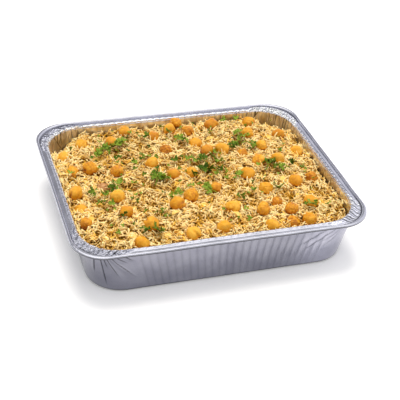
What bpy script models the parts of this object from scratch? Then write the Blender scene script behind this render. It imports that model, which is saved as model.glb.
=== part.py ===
"""A half-size foil tray of chickpea rice, modelled in metres with +Z up.

The origin is the middle of the tray's flat base, on the surface that it stands on.
+X runs along the tray's long side and +Y across it.
"""

import math

import bmesh
import bpy
from mathutils import Matrix, Vector, noise

# Tray: the rim, the lip where the wall meets the flange, and the flat base.
TRAY_LENGTH = 0.320
TRAY_WIDTH = 0.2635
TRAY_HEIGHT = 0.056
RIM_CORNER = 0.036
FLANGE_WIDTH = 0.012
LIP_CORNER = 0.0405
WALL_DRAFT_X = 0.0076
WALL_DRAFT_Y = 0.002
BASE_CORNER = 0.037
BASE_FILLET = 0.0025
FOIL = 0.0005

# Flutes pressed into the straight stretches of the wall: deepest FLUTE_HEAD below its top, and
# dying out above that, where the wall takes one step for every FLUTE_FADE of theirs.
FLUTE_PITCH = 0.0076
FLUTE_DEPTH = 0.0009
FLUTE_HEAD = 0.006
FLUTE_FADE = 4
CORNER_STEPS = 6

# Rolled rim, from the lip over the wall, past a shallow groove, to a bead that curls under.
LIP_RADIUS = 0.0016
LIP_FLAT = 0.0018
LIP_DROP = 0.0012
GROOVE_WIDTH = 0.001
GROOVE_DROP = 0.0016
BEAD_RADIUS = 0.002
BEAD_STEPS = 6
BEAD_START_ANGLE = -20
BEAD_END_ANGLE = 230
SHARP_ANGLE = 35

# Rice: gap to the foil, the heap's height, and how far it falls to each wall and into each corner.
GAP = 0.0004
RICE_MIDDLE = 0.0520
RICE_FALL_LEFT = 0.005
RICE_FALL_RIGHT = 0.008
RICE_FALL_FRONT = 0.004
RICE_FALL_BACK = 0.0045
RICE_FALL_FRONT_LEFT = 0.003
RICE_FALL_FRONT_RIGHT = 0.009
RICE_FALL_BACK_LEFT = 0.016
RICE_FALL_BACK_RIGHT = 0.011
RICE_LUMP = 0.0018
LUMP_SIZE = 0.030
RICE_SIDE_STEPS = (9, 7)
RICE_RINGS = (0.95, 0.86, 0.74, 0.60, 0.45, 0.30, 0.14)

# Chickpeas: the mean radius and how far one differs from it; the beak and the crease, as shares
# of the radius; and how far a centre stands above the rice.
PEA_RADIUS = 0.0078
PEA_SIZE_SPREAD = 0.08
PEA_SQUASH = (1.0, 0.96, 0.93)
PEA_BEAK = 0.10
PEA_CREASE = 0.06
CREASE_WIDTH = 0.25
PEA_ABOVE_RICE = {"perched": 0.0045, "proud": 0.0026, "level": 0.0004, "sunk": -0.0022}

# Sockets: tapered pits in the rice, each reaching SOCKET_MOUTH above the rice round its chickpea.
SOCKET_SIDES = 8
SOCKET_GAP = 0.0004
SOCKET_MOUTH = 0.0035

# Where each chickpea lies, from the back of the tray to the front: millimetres across and along
# from the middle of the tray, and how deep it sits.
PEA_PLACES_MM = (
    (9, 108, "perched"), (-56, 102, "proud"), (-3, 96, "proud"), (50, 96, "proud"), (96, 96, "level"),
    (-110, 84, "level"), (-76, 81, "proud"), (-26, 85, "level"), (17, 85, "proud"), (85, 70, "proud"),
    (-133, 67, "sunk"), (21, 65, "sunk"), (121, 60, "proud"), (-19, 53, "level"), (92, 40, "proud"),
    (25, 39, "proud"), (44, 38, "proud"), (-112, 32, "proud"), (-130, 35, "sunk"), (65, 30, "sunk"),
    (-43, 27, "proud"), (133, 28, "level"), (-85, 16, "proud"), (79, 10, "level"), (101, 8, "proud"),
    (-26, 0, "proud"), (-4, 1, "level"), (-105, -5, "sunk"), (-136, -11, "proud"), (56, -15, "proud"),
    (-95, -30, "perched"), (127, -30, "level"), (13, -34, "proud"), (-136, -36, "sunk"), (104, -39, "proud"),
    (66, -46, "proud"), (-19, -46, "proud"), (-37, -58, "perched"), (-93, -60, "proud"), (-136, -65, "level"),
    (70, -69, "sunk"), (18, -74, "proud"), (107, -77, "level"), (-73, -84, "proud"), (49, -84, "proud"),
    (80, -88, "proud"), (-1, -103, "proud"), (-34, -106, "proud"), (93, -106, "level"), (74, -106, "sunk"),
    (-88, -108, "level"), (50, -108, "level"),
)


def clear_scene():
    for item in list(bpy.data.objects):
        bpy.data.objects.remove(item)


def collection_named(name):
    made = bpy.data.collections.new(name)
    bpy.context.scene.collection.children.link(made)
    return made


def material_named(name, colour, roughness, metallic=0.0):
    made = bpy.data.materials.new(name)
    made.use_nodes = True
    shader = made.node_tree.nodes["Principled BSDF"]
    shader.inputs["Base Color"].default_value = (*colour, 1.0)
    shader.inputs["Roughness"].default_value = roughness
    shader.inputs["Metallic"].default_value = metallic
    made.diffuse_color = (*colour, 1.0)
    return made


def new_object(name, mesh, material, collection):
    made = bpy.data.objects.new(name, mesh)
    mesh.materials.append(material)
    collection.objects.link(made)
    return made


# Rounded rectangles ------------------------------------------------------------------------


def rounded_outline(half_x, half_y, radius, side_steps=(1, 1), corner_steps=CORNER_STEPS, flute=0.0):
    """A rounded rectangle as (place, x, y) points, anticlockwise from the +X side's lower end.

    place counts sides and corners, so that unlike outlines can be stitched corner to corner.
    side_steps are the pieces of each side along X and along Y; every second point of a side
    moves in and out by half of flute.
    """
    points = []
    for side in range(4):
        turn = side * math.pi / 2
        along_y = side % 2 == 0
        reach, run = (half_x, half_y) if along_y else (half_y, half_x)
        steps = side_steps[1] if along_y else side_steps[0]
        for step in range(steps):
            share = step / steps
            push = 0.0 if step == 0 else flute / 2 * (1 if step % 2 else -1)
            points.append((2 * side + share, turn, reach + push, (run - radius) * (2 * share - 1)))
        for step in range(corner_steps):
            angle = math.pi / 2 * step / corner_steps
            out = reach - radius + radius * math.cos(angle)
            along = run - radius + radius * math.sin(angle)
            points.append((2 * side + 1 + step / corner_steps, turn, out, along))
    return [
        (place, out * math.cos(turn) - along * math.sin(turn), out * math.sin(turn) + along * math.cos(turn))
        for place, turn, out, along in points
    ]


def ring_of(bm, outline, height):
    """Adds an outline's vertices. height is a number, or a function of x and y."""
    level = height if callable(height) else lambda x, y: height
    return [(place, bm.verts.new((x, y, level(x, y)))) for place, x, y in outline]


def stitch(bm, lower, upper):
    """Joins two closed rings, advancing on whichever ring's next point comes first."""
    full_turn = 8.0
    low = lower + [(full_turn, lower[0][1])]
    high = upper + [(full_turn, upper[0][1])]
    i = j = 0
    while i < len(lower) or j < len(upper):
        next_low = low[i + 1][0] if i < len(lower) else math.inf
        next_high = high[j + 1][0] if j < len(upper) else math.inf
        if math.isclose(next_low, next_high, abs_tol=1e-9):
            bm.faces.new((low[i][1], low[i + 1][1], high[j + 1][1], high[j][1]))
            i, j = i + 1, j + 1
        elif next_low < next_high:
            bm.faces.new((low[i][1], low[i + 1][1], high[j][1]))
            i += 1
        else:
            bm.faces.new((low[i][1], high[j + 1][1], high[j][1]))
            j += 1


def mesh_from(bm, name):
    bmesh.ops.recalc_face_normals(bm, faces=bm.faces)
    mesh = bpy.data.meshes.new(name)
    bm.to_mesh(mesh)
    bm.free()
    return mesh


# Foil tray ---------------------------------------------------------------------------------


LIP_HALF_X = TRAY_LENGTH / 2 - FLANGE_WIDTH
LIP_HALF_Y = TRAY_WIDTH / 2 - FLANGE_WIDTH
WALL_TOP = TRAY_HEIGHT - LIP_DROP - LIP_RADIUS


def wall_outline(height, inset=0.0):
    """Half lengths and corner radius of the wall's food side at a height, moved in by inset."""
    share = (height - FOIL) / (WALL_TOP - FOIL)
    half_x = LIP_HALF_X - WALL_DRAFT_X * (1 - share) - inset
    half_y = LIP_HALF_Y - WALL_DRAFT_Y * (1 - share) - inset
    radius = BASE_CORNER + (LIP_CORNER - BASE_CORNER) * share - inset
    return half_x, half_y, radius


def rim_outline(inset):
    """The rim's outline moved in by inset, its corners easing from the rim's to the lip's."""
    ease = min(inset / FLANGE_WIDTH, 1.0)
    radius = RIM_CORNER + (LIP_CORNER - RIM_CORNER) * ease
    return TRAY_LENGTH / 2 - inset, TRAY_WIDTH / 2 - inset, radius


def flute_counts():
    """Steps on each straight side: two for each flute."""
    run_x = 2 * (LIP_HALF_X - LIP_CORNER)
    run_y = 2 * (LIP_HALF_Y - LIP_CORNER)
    return tuple(2 * round(run / FLUTE_PITCH) for run in (run_x, run_y))


def tray_sections():
    """(outline, height) of the tray's food side, from the base out to the end of the curled rim."""
    fluted = flute_counts()
    for part in (0, 0.5, 1):
        angle = part * math.pi / 2
        height = FOIL + BASE_FILLET * (1 - math.cos(angle))
        inset = BASE_FILLET * (1 - math.sin(angle))
        sides = fluted if part == 1 else (1, 1)
        yield rounded_outline(*wall_outline(height, inset), sides), height
    head = WALL_TOP - FLUTE_HEAD
    yield rounded_outline(*wall_outline(head), fluted, flute=FLUTE_DEPTH), head
    yield rounded_outline(*wall_outline(WALL_TOP), [count // FLUTE_FADE for count in fluted]), WALL_TOP
    lip_inset = FLANGE_WIDTH - LIP_RADIUS / 2
    for inset in (lip_inset, lip_inset - LIP_FLAT):
        yield rounded_outline(*rim_outline(inset)), TRAY_HEIGHT - LIP_DROP
    yield rounded_outline(*rim_outline(2 * BEAD_RADIUS + GROOVE_WIDTH)), TRAY_HEIGHT - GROOVE_DROP
    for step in range(BEAD_STEPS + 1):
        turned = (BEAD_END_ANGLE - BEAD_START_ANGLE) * step / BEAD_STEPS
        angle = math.radians(BEAD_START_ANGLE + turned)
        inset = BEAD_RADIUS * (1 + math.cos(angle))
        height = TRAY_HEIGHT - BEAD_RADIUS * (1 - math.sin(angle))
        yield rounded_outline(*rim_outline(inset)), height


def foil_tray(material, collection):
    bm = bmesh.new()
    rings = [ring_of(bm, outline, height) for outline, height in tray_sections()]
    bm.faces.new([vertex for _, vertex in rings[0]])
    for lower, upper in zip(rings, rings[1:]):
        stitch(bm, lower, upper)
    bmesh.ops.recalc_face_normals(bm, faces=bm.faces)
    if bm.faces[0].normal.z > 0:
        bmesh.ops.reverse_faces(bm, faces=bm.faces)
    mesh = bpy.data.meshes.new("foil_tray")
    bm.to_mesh(mesh)
    bm.free()
    tray = new_object("foil_tray", mesh, material, collection)
    skin = tray.modifiers.new("Foil", "SOLIDIFY")
    skin.thickness = FOIL
    skin.offset = 1.0
    skin.use_even_offset = True
    mesh.shade_smooth()
    mesh.set_sharp_from_angle(angle=math.radians(SHARP_ANGLE))
    return tray


# Rice heap ---------------------------------------------------------------------------------


RICE_INSET = FLUTE_DEPTH / 2 + GAP


def into_corner(x, y):
    """0 along the straight walls and in the middle, rising to 1 in the middle of a corner's wall."""
    past_x = max(0.0, abs(x) - (LIP_HALF_X - LIP_CORNER)) / LIP_CORNER
    past_y = max(0.0, abs(y) - (LIP_HALF_Y - LIP_CORNER)) / LIP_CORNER
    return 2 * past_x * past_y


def rice_height(x, y):
    """Height of the heaped rice: nearly level, lower at the walls and lowest in the back corners."""
    wall_x = RICE_FALL_RIGHT if x > 0 else RICE_FALL_LEFT
    wall_y = RICE_FALL_BACK if y > 0 else RICE_FALL_FRONT
    if y > 0:
        corner = RICE_FALL_BACK_RIGHT if x > 0 else RICE_FALL_BACK_LEFT
    else:
        corner = RICE_FALL_FRONT_RIGHT if x > 0 else RICE_FALL_FRONT_LEFT
    fall = wall_x * (abs(x) / LIP_HALF_X) ** 6 + wall_y * (abs(y) / LIP_HALF_Y) ** 6
    lump = noise.noise(Vector((x / LUMP_SIZE, y / LUMP_SIZE, 0.5)))
    return RICE_MIDDLE - fall - corner * into_corner(x, y) + RICE_LUMP * lump


def rice_edge():
    """The heap's outline against the wall, each point drawn in as far as the wall is at its height."""
    upright = rounded_outline(*wall_outline(RICE_MIDDLE, RICE_INSET), RICE_SIDE_STEPS)
    edge = []
    for index, (_, x, y) in enumerate(upright):
        at_height = wall_outline(rice_height(x, y), RICE_INSET)
        edge.append(rounded_outline(*at_height, RICE_SIDE_STEPS)[index])
    return edge


def rice_heap(material, collection, sockets):
    floor = FOIL + GAP
    bm = bmesh.new()
    rings = []
    for part in (0, 1):
        inset = RICE_INSET + BASE_FILLET * (1 - part)
        height = floor + BASE_FILLET * part
        rings.append(ring_of(bm, rounded_outline(*wall_outline(height, inset)), height))
    rings.append(ring_of(bm, rice_edge(), rice_height))
    for scale in RICE_RINGS:
        outline = (size * scale for size in wall_outline(RICE_MIDDLE, RICE_INSET))
        steps = [max(1, round(count * scale)) for count in (*RICE_SIDE_STEPS, CORNER_STEPS)]
        rings.append(ring_of(bm, rounded_outline(*outline, steps[:2], steps[2]), rice_height))
    bm.faces.new([vertex for _, vertex in rings[0]])
    for lower, upper in zip(rings, rings[1:]):
        stitch(bm, lower, upper)
    bm.faces.new([vertex for _, vertex in rings[-1]])
    rice = new_object("rice_heap", mesh_from(bm, "rice_heap"), material, collection)
    cut = rice.modifiers.new("Chickpea sockets", "BOOLEAN")
    cut.operation = "DIFFERENCE"
    cut.solver = "EXACT"
    cut.use_self = True
    cut.object = sockets
    return rice


# Chickpeas ---------------------------------------------------------------------------------


def pea_shape(number):
    """A chickpea around its centre: a flattened ball with a blunt beak and a crease behind it."""
    bm = bmesh.new()
    bmesh.ops.create_icosphere(bm, subdivisions=2, radius=1.0)
    for vertex in bm.verts:
        x, y, z = vertex.co
        beak = 1.0 + PEA_BEAK * max(0.0, x) ** 4
        crease = 1.0 - PEA_CREASE * math.exp(-((y / CREASE_WIDTH) ** 2)) * max(0.0, -x)
        vertex.co = Vector((x * beak, y, z)) * Vector(PEA_SQUASH) * crease
    radius = PEA_RADIUS * (1.0 + PEA_SIZE_SPREAD * math.sin(5.3 * number))
    bmesh.ops.scale(bm, vec=(radius, radius, radius), verts=bm.verts)
    return mesh_from(bm, f"chickpea_{number:02d}")


def pea_turn(number):
    """Each chickpea faces its own way, with its beak between level and half up."""
    beak_up = Matrix.Rotation(-0.4 - 0.4 * math.sin(3.1 * number), 4, "Y")
    return Matrix.Rotation(2.4 * number, 4, "Z") @ beak_up @ Matrix.Rotation(1.3 * number, 4, "X")


def socket_radii(points, foot, mouth):
    """Radii at heights foot and mouth of the narrowest tapered pit round the points below mouth."""
    buried = [(point.xy.length, (point.z - foot) / (mouth - foot)) for point in points if point.z < mouth]
    widest = max(reach for reach, _ in buried)
    narrowest = max((reach - widest * share) / (1 - share) for reach, share in buried)
    return narrowest, widest


def add_socket(bm, pea, turn, centre, above_rice):
    """Adds to bm the pit that a chickpea sits in, from just under it to above the rice around it."""
    points = [turn @ vertex.co for vertex in pea.vertices]
    foot = min(point.z for point in points) - SOCKET_GAP
    mouth = SOCKET_MOUTH - above_rice
    corner_reach = 1 / math.cos(math.pi / SOCKET_SIDES)
    radius_foot, radius_mouth = (
        (radius + SOCKET_GAP) * corner_reach for radius in socket_radii(points, foot, mouth)
    )
    bmesh.ops.create_cone(
        bm, cap_ends=True, segments=SOCKET_SIDES, radius1=radius_foot, radius2=radius_mouth,
        depth=mouth - foot, matrix=Matrix.Translation(centre + Vector((0, 0, (mouth + foot) / 2))),
    )


def chickpeas(material, collection):
    """Makes each chickpea an object, and returns the mesh of all their sockets."""
    sockets = bmesh.new()
    for number, (across, along, depth) in enumerate(PEA_PLACES_MM, 1):
        x, y = across / 1000, along / 1000
        above_rice = PEA_ABOVE_RICE[depth]
        centre = Vector((x, y, rice_height(x, y) + above_rice))
        turn = pea_turn(number)
        mesh = pea_shape(number)
        pea = new_object(mesh.name, mesh, material, collection)
        pea.location = centre
        pea.rotation_euler = turn.to_euler()
        mesh.shade_smooth()
        add_socket(sockets, mesh, turn, centre, above_rice)
    return mesh_from(sockets, "chickpea_sockets")


def build():
    clear_scene()
    parts = collection_named("Foil tray meal")
    cutters = collection_named("Cutters")
    foil = material_named("foil", (0.72, 0.72, 0.75), 0.32, 1.0)
    rice = material_named("rice", (0.86, 0.66, 0.36), 0.55)
    pea = material_named("chickpea", (0.78, 0.42, 0.08), 0.45)

    foil_tray(foil, parts)
    sockets = bpy.data.objects.new("chickpea_sockets", chickpeas(pea, parts))
    sockets.hide_render = True
    sockets.display_type = "WIRE"
    cutters.objects.link(sockets)
    rice_heap(rice, parts, sockets)


build()
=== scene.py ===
# %% [markdown]
# # A foil tray of chickpea rice
#
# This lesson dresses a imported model, a pressed foil tray filled with rice and chickpeas, so that
# it looks like the real meal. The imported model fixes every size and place. Here we make the thin
# foil with its flutes and folds, thousands of separate rice grains over a hidden core, the
# chickpeas, and the chopped herbs, onion and spice that lie between them.

import math

import bpy
import numpy as np
from mathutils import Matrix, Vector, noise


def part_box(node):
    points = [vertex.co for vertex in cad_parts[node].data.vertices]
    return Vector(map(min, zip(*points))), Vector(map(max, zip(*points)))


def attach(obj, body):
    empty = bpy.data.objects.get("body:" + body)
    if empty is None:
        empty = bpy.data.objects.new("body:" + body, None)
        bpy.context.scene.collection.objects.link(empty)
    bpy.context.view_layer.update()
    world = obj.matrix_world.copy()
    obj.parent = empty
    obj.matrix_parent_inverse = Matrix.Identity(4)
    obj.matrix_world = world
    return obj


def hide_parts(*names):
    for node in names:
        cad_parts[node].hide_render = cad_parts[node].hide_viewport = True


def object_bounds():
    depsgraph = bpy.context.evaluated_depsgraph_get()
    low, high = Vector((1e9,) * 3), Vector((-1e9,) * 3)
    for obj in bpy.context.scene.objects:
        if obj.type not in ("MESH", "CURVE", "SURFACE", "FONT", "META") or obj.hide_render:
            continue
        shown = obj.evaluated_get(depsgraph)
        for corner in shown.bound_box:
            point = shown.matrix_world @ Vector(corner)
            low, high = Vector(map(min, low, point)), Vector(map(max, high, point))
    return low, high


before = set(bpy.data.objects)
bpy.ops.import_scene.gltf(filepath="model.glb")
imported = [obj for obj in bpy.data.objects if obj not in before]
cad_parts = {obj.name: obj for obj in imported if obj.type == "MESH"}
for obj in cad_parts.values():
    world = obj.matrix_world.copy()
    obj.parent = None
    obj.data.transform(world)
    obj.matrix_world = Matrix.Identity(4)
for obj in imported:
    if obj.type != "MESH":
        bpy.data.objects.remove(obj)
cad_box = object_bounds()
tray_low, tray_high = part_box("foil_tray")
print("tray", [round(v * 1000, 1) for v in (*tray_low, *tray_high)], "mm")

# %% [markdown]
# ## Camera, floor and light
#
# The tray is seen from its front left corner, about a third of the way up to overhead, with a
# long lens. A camera is easiest to place by where it looks, how far away it stands and the two
# angles it stands at. It also leans a little about its own axis, as a camera in the hand does.

# %% Camera
LENS_MM = 88.73
CAMERA_AIM = Vector((0.0157, 0.0219, 0.0))
CAMERA_DISTANCE = 1.140
CAMERA_TURN, CAMERA_RISE, CAMERA_ROLL = (math.radians(a) for a in (-19.77, 34.31, 4.41))


def from_above(turn, rise):
    """The direction from the tray to a viewer at a turn around it and a rise over the floor."""
    return Vector((math.sin(turn) * math.cos(rise), -math.cos(turn) * math.cos(rise), math.sin(rise)))


bpy.ops.object.select_all(action="DESELECT")
toward = from_above(CAMERA_TURN, CAMERA_RISE)
look = (-toward).to_track_quat("-Z", "Y").to_matrix() @ Matrix.Rotation(CAMERA_ROLL, 3, "Z")
bpy.ops.object.camera_add(location=CAMERA_AIM + toward * CAMERA_DISTANCE, rotation=look.to_euler())
camera = bpy.context.object
camera.data.lens = LENS_MM
camera.data.sensor_width = 36.0
camera.data.clip_start = 0.01
bpy.context.scene.camera = camera
print("camera at", [round(v, 3) for v in camera.location])

# %% [markdown]
# Every material below is a Principled shader fed by a few nodes. Three small helpers keep that
# short: one starts a material, one adds a node with its settings, and one adds a colour ramp.

# %% Helpers for materials
def shader_material(name):
    """A new material, its node tree and its Principled shader."""
    made = bpy.data.materials.new(name)
    made.use_nodes = True
    return made, made.node_tree, made.node_tree.nodes["Principled BSDF"]


def add_node(tree, kind, **settings):
    """Adds a node to a tree. A setting is a property, or a socket by its name."""
    node = tree.nodes.new(kind)
    for key, value in settings.items():
        if hasattr(node, key):
            setattr(node, key, value)
        else:
            node.inputs[key.replace("_", " ")].default_value = value
    return node


def add_ramp(tree, stops):
    """A colour ramp through (position, colour) stops."""
    ramp = tree.nodes.new("ShaderNodeValToRGB")
    while len(ramp.color_ramp.elements) < len(stops):
        ramp.color_ramp.elements.new(0.5)
    for element, (position, colour) in zip(ramp.color_ramp.elements, stops):
        element.position = position
        element.color = (*colour, 1.0)
    return ramp


print("helpers:", ", ".join(helper.__name__ for helper in (shader_material, add_node, add_ramp)))

# %% [markdown]
# The floor is one large white sheet, too dull to mirror anything. It glows a little, so that the
# shadow of the tray stays pale, as it does in a white room.

# %% Floor
FLOOR_SIZE = 8.0
FLOOR_GLOW = 0.16
FLOOR_COLOUR = (0.93, 0.93, 0.935, 1.0)

bpy.ops.mesh.primitive_plane_add(size=FLOOR_SIZE)
floor = bpy.context.object
floor.name = "floor"
floor_white, _, shader = shader_material("floor white")
shader.inputs["Base Color"].default_value = FLOOR_COLOUR
shader.inputs["Roughness"].default_value = 0.9
shader.inputs["Specular IOR Level"].default_value = 0.0
shader.inputs["Emission Color"].default_value = (1.0, 1.0, 1.0, 1.0)
shader.inputs["Emission Strength"].default_value = FLOOR_GLOW
floor.data.materials.append(floor_white)
print("floor", FLOOR_SIZE, "m wide")

# %% [markdown]
# The light is that of an overcast white room. Foil shows what stands round it, so the room has
# white walls, a grey band over them, a white ceiling panel, and one more pale wall on the right.
# The render keeps plain display colours, so that white stays white.

# %% Room
ROOM_LIGHT = 1.55
# (how high on the sky, colour): white walls, a grey band over them and a white ceiling panel
SKY = (
    (0.00, (0.62, 0.62, 0.63)),
    (0.22, (0.58, 0.58, 0.59)),
    (0.41, (0.20, 0.198, 0.208)),
    (0.66, (0.20, 0.198, 0.208)),
    (0.80, (0.86, 0.855, 0.84)),
    (1.00, (0.96, 0.945, 0.92)),
)
# (how far to the right, colour): a pale wall that shows only on the right
RIGHT_WALL = ((0.29, (0.0, 0.0, 0.0)), (0.42, (0.52, 0.52, 0.55)))

room = bpy.data.worlds.new("white room")
room.use_nodes = True
tree = room.node_tree
heights = add_node(tree, "ShaderNodeTexCoord")
split = add_node(tree, "ShaderNodeSeparateXYZ")
sky, right_wall = add_ramp(tree, SKY), add_ramp(tree, RIGHT_WALL)
lighter = add_node(tree, "ShaderNodeMix", data_type="RGBA", blend_type="LIGHTEN")
lighter.inputs["Factor"].default_value = 1.0
tree.links.new(heights.outputs["Generated"], split.inputs["Vector"])
tree.links.new(split.outputs["Z"], sky.inputs["Fac"])
tree.links.new(split.outputs["X"], right_wall.inputs["Fac"])
tree.links.new(sky.outputs["Color"], lighter.inputs["A"])
tree.links.new(right_wall.outputs["Color"], lighter.inputs["B"])
tree.links.new(lighter.outputs["Result"], tree.nodes["Background"].inputs["Color"])
tree.nodes["Background"].inputs["Strength"].default_value = ROOM_LIGHT
bpy.context.scene.world = room
bpy.context.scene.view_settings.view_transform = "Standard"
print("room light", ROOM_LIGHT)

# %% [markdown]
# One wide soft lamp stands above and behind the tray, so that the shadow falls softly to the
# front. It is a sun lamp, because a sun lights all of the tray alike, and its wide angle softens
# the shadow. The foil doesn't mirror it, or each fold would carry a hard white spot.

# %% Lamp
LAMP_FROM = Vector((0.05, 0.36, 1.0))
LAMP_SPREAD = math.radians(35)
LAMP_STRENGTH = 2.05
LAMP_COLOUR = (1.0, 0.96, 0.89)

bpy.ops.object.light_add(type="SUN", location=LAMP_FROM)
lamp = bpy.context.object
lamp.rotation_euler = LAMP_FROM.to_track_quat("Z", "Y").to_euler()
lamp.data.angle = LAMP_SPREAD
lamp.data.energy = LAMP_STRENGTH
lamp.data.color = LAMP_COLOUR
lamp.visible_glossy = False
print("lamp spread over", round(math.degrees(LAMP_SPREAD)), "degrees")

# %% [markdown]
# ## The foil tray
#
# A foil tray is one thin sheet, pressed over a form. Its straight walls carry upright flutes,
# its corners gather the spare foil in pleats and folds, and its rim is a flat flange that ends in
# a rolled bead. We make it as rings of points round a rounded rectangle. First come the columns:
# how each point sits on a side or in a corner, which every ring shares.

# %% Columns round the tray
HALF_X, HALF_Y, RIM_TOP = tray_high
FLANGE_WIDTH = 0.012
WALL_HALF_X, WALL_HALF_Y = HALF_X - FLANGE_WIDTH, HALF_Y - FLANGE_WIDTH
RIM_CORNER, WALL_CORNER, BASE_CORNER = 0.036, 0.0405, 0.037
WALL_TOP = RIM_TOP - 0.0028
WALL_DRAFT_X, WALL_DRAFT_Y = 0.0076, 0.002
FLUTES_X, FLUTES_Y = 28, 21
FLUTE_COLUMNS = 6
CORNER_COLUMNS = 128


def columns():
    """For each column: its side's turn, its place along the side and its angle in the corner."""
    turn, share, arc, flute = [], [], [], []
    for side in range(4):
        flutes = FLUTES_Y if side % 2 == 0 else FLUTES_X
        count = flutes * FLUTE_COLUMNS
        steps = np.arange(count) / count
        turn += [side * math.pi / 2] * (count + CORNER_COLUMNS)
        share += list(2 * steps - 1) + [1.0] * CORNER_COLUMNS
        arc += [0.0] * count + list(math.pi / 2 * np.arange(CORNER_COLUMNS) / CORNER_COLUMNS)
        flute += list(steps * flutes) + [0.0] * CORNER_COLUMNS
    return tuple(np.array(values) for values in (turn, share, arc, flute))


TURN, SHARE, ARC, FLUTE = columns()
ALONG_Y = np.isclose(np.cos(TURN) ** 2, 1.0)
OUT_X, OUT_Y = np.cos(TURN + ARC), np.sin(TURN + ARC)


def outline(half_x, half_y, radius):
    """The x and y of every column on a rounded rectangle."""
    reach = np.where(ALONG_Y, half_x, half_y)
    run = np.where(ALONG_Y, half_y, half_x)
    out = reach - radius + radius * np.cos(ARC)
    along = (run - radius) * SHARE + radius * np.sin(ARC)
    x = out * np.cos(TURN) - along * np.sin(TURN)
    y = out * np.sin(TURN) + along * np.cos(TURN)
    return x, y


print(len(TURN), "columns round the tray")

# %% [markdown]
# Each corner gathers the spare foil in its own way. So each column is told which corner is the
# nearest, and how far along that corner's arc it stands. A corner's folds are at full strength
# inside its arc and fade out along the sides.

# %% Corners
CORNER_BACK_RIGHT, CORNER_BACK_LEFT, CORNER_FRONT_LEFT, CORNER_FRONT_RIGHT = range(4)
CORNER_ARC = math.pi / 2 * WALL_CORNER
CORNER_FADE = 0.012


def smooth_step(value):
    """0 below 0, 1 above 1, and a smooth climb between them."""
    value = np.clip(value, 0.0, 1.0)
    return value * value * (3 - 2 * value)


def rises(value, start, width):
    """Climbs from 0 at the start to 1 a width later."""
    return smooth_step((value - start) / width)


def fades(value, end, width):
    """Falls from 1 a width before the end to 0 at the end."""
    return smooth_step((end - value) / width)


def corner_places():
    """For each column: the nearest corner's number, and the arc length from that corner's start."""
    side = np.rint(TURN / (math.pi / 2)).astype(int)
    run = 2 * (np.where(ALONG_Y, WALL_HALF_Y, WALL_HALF_X) - WALL_CORNER)
    ahead = np.where(SHARE < 1.0, (SHARE - 1.0) / 2 * run, ARC * WALL_CORNER)
    behind = CORNER_ARC + (SHARE + 1.0) / 2 * run
    nearer_behind = SHARE < 0.0
    corner = np.where(nearer_behind, (side - 1) % 4, side)
    return corner, np.where(nearer_behind, behind, ahead)


CORNER, CORNER_S = corner_places()
PAST_CORNER = np.maximum(np.maximum(-CORNER_S, CORNER_S - CORNER_ARC), 0.0)
IN_CORNER = smooth_step(1.0 - PAST_CORNER / CORNER_FADE)
print("each corner's arc is", round(CORNER_ARC * 1000, 1), "mm long")

# %% [markdown]
# Crumpled foil is all straight folds, so its relief is a zigzag with uneven teeth, not a smooth
# wave. `zigzag` makes such a line for each corner, from the corner's own seed. In the flange the
# teeth are crimps, and down the wall's top they are pleats.

# %% Crimps and pleats
# For each corner: the crimps' height in the flange and their pitch, the pleats' depth at the top
# of the wall, and how far down the wall the pleats reach.
CRIMPS = {
    CORNER_FRONT_RIGHT: (0.00020, 0.0030, 0.00030, 0.012),
    CORNER_FRONT_LEFT: (0.00040, 0.0040, 0.00025, 0.010),
    CORNER_BACK_LEFT: (0.00055, 0.0032, 0.00060, 0.020),
    CORNER_BACK_RIGHT: (0.00040, 0.0030, 0.00060, 0.030),
}
CRIMP_SEED = 31
# A zigzag runs from before its corner's arc to past it.
ZIGZAG_START, ZIGZAG_END = -0.03, 0.10
# The least and most of a tooth's width, as a share of the pitch, and of its height.
TOOTH_WIDTH, TOOTH_HEIGHT = (0.45, 1.55), (0.35, 1.0)


def zigzag(places, pitch, seed):
    """Heights from -1 to 1 along a line of uneven teeth about pitch wide."""
    rng = np.random.default_rng(seed)
    teeth = int((ZIGZAG_END - ZIGZAG_START) / pitch) + 2
    knots = ZIGZAG_START + np.cumsum(rng.uniform(*TOOTH_WIDTH, teeth)) * pitch
    heights = rng.uniform(*TOOTH_HEIGHT, len(knots)) * np.where(np.arange(len(knots)) % 2, 1, -1)
    return np.interp(places, knots, heights)


def crimps(places):
    """Zigzags of all four corners at places along the arc."""
    relief = np.zeros_like(places)
    for corner in range(4):
        here = CORNER == corner
        relief[here] = zigzag(places[here], CRIMPS[corner][1], CRIMP_SEED + corner)
    return relief


def per_corner(table, index):
    """For each column, one value from its corner's row in a table."""
    return np.array([table[corner][index] for corner in range(4)])[CORNER]


CRIMP_HEIGHT, PLEAT_DEPTH, PLEAT_FALL = (per_corner(CRIMPS, index) for index in (0, 2, 3))
print("crimps up to", round(float(CRIMP_HEIGHT.max()) * 1000, 2), "mm high")

# %% [markdown]
# Where the foil was pinched hard it is crushed into small flat faces. They are too small for the
# mesh, so each point only carries how crushed it is, and the foil's material makes the faces.

# %% Crushed places
# For each corner: how crushed the flange is, how crushed the wall's top is, and how far past the
# corner's ends the wall stays crushed.
CRUSH = {
    CORNER_FRONT_RIGHT: (0.25, 0.05, 0.004),
    CORNER_FRONT_LEFT: (0.90, 0.05, 0.012),
    CORNER_BACK_LEFT: (1.00, 0.90, 0.010),
    CORNER_BACK_RIGHT: (0.90, 0.90, 0.045),
}
# How far below the wall's top the crush fades.
CRUSH_FALL = 0.026

FLANGE_CRUSH, WALL_CRUSH, CRUSH_REACH = (per_corner(CRUSH, index) for index in range(3))
NEAR_CORNER = smooth_step(1.6 - PAST_CORNER / CRUSH_REACH)
print("the wall's top is crushed along", int((WALL_CRUSH * NEAR_CORNER > 0.5).sum()), "columns")

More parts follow.
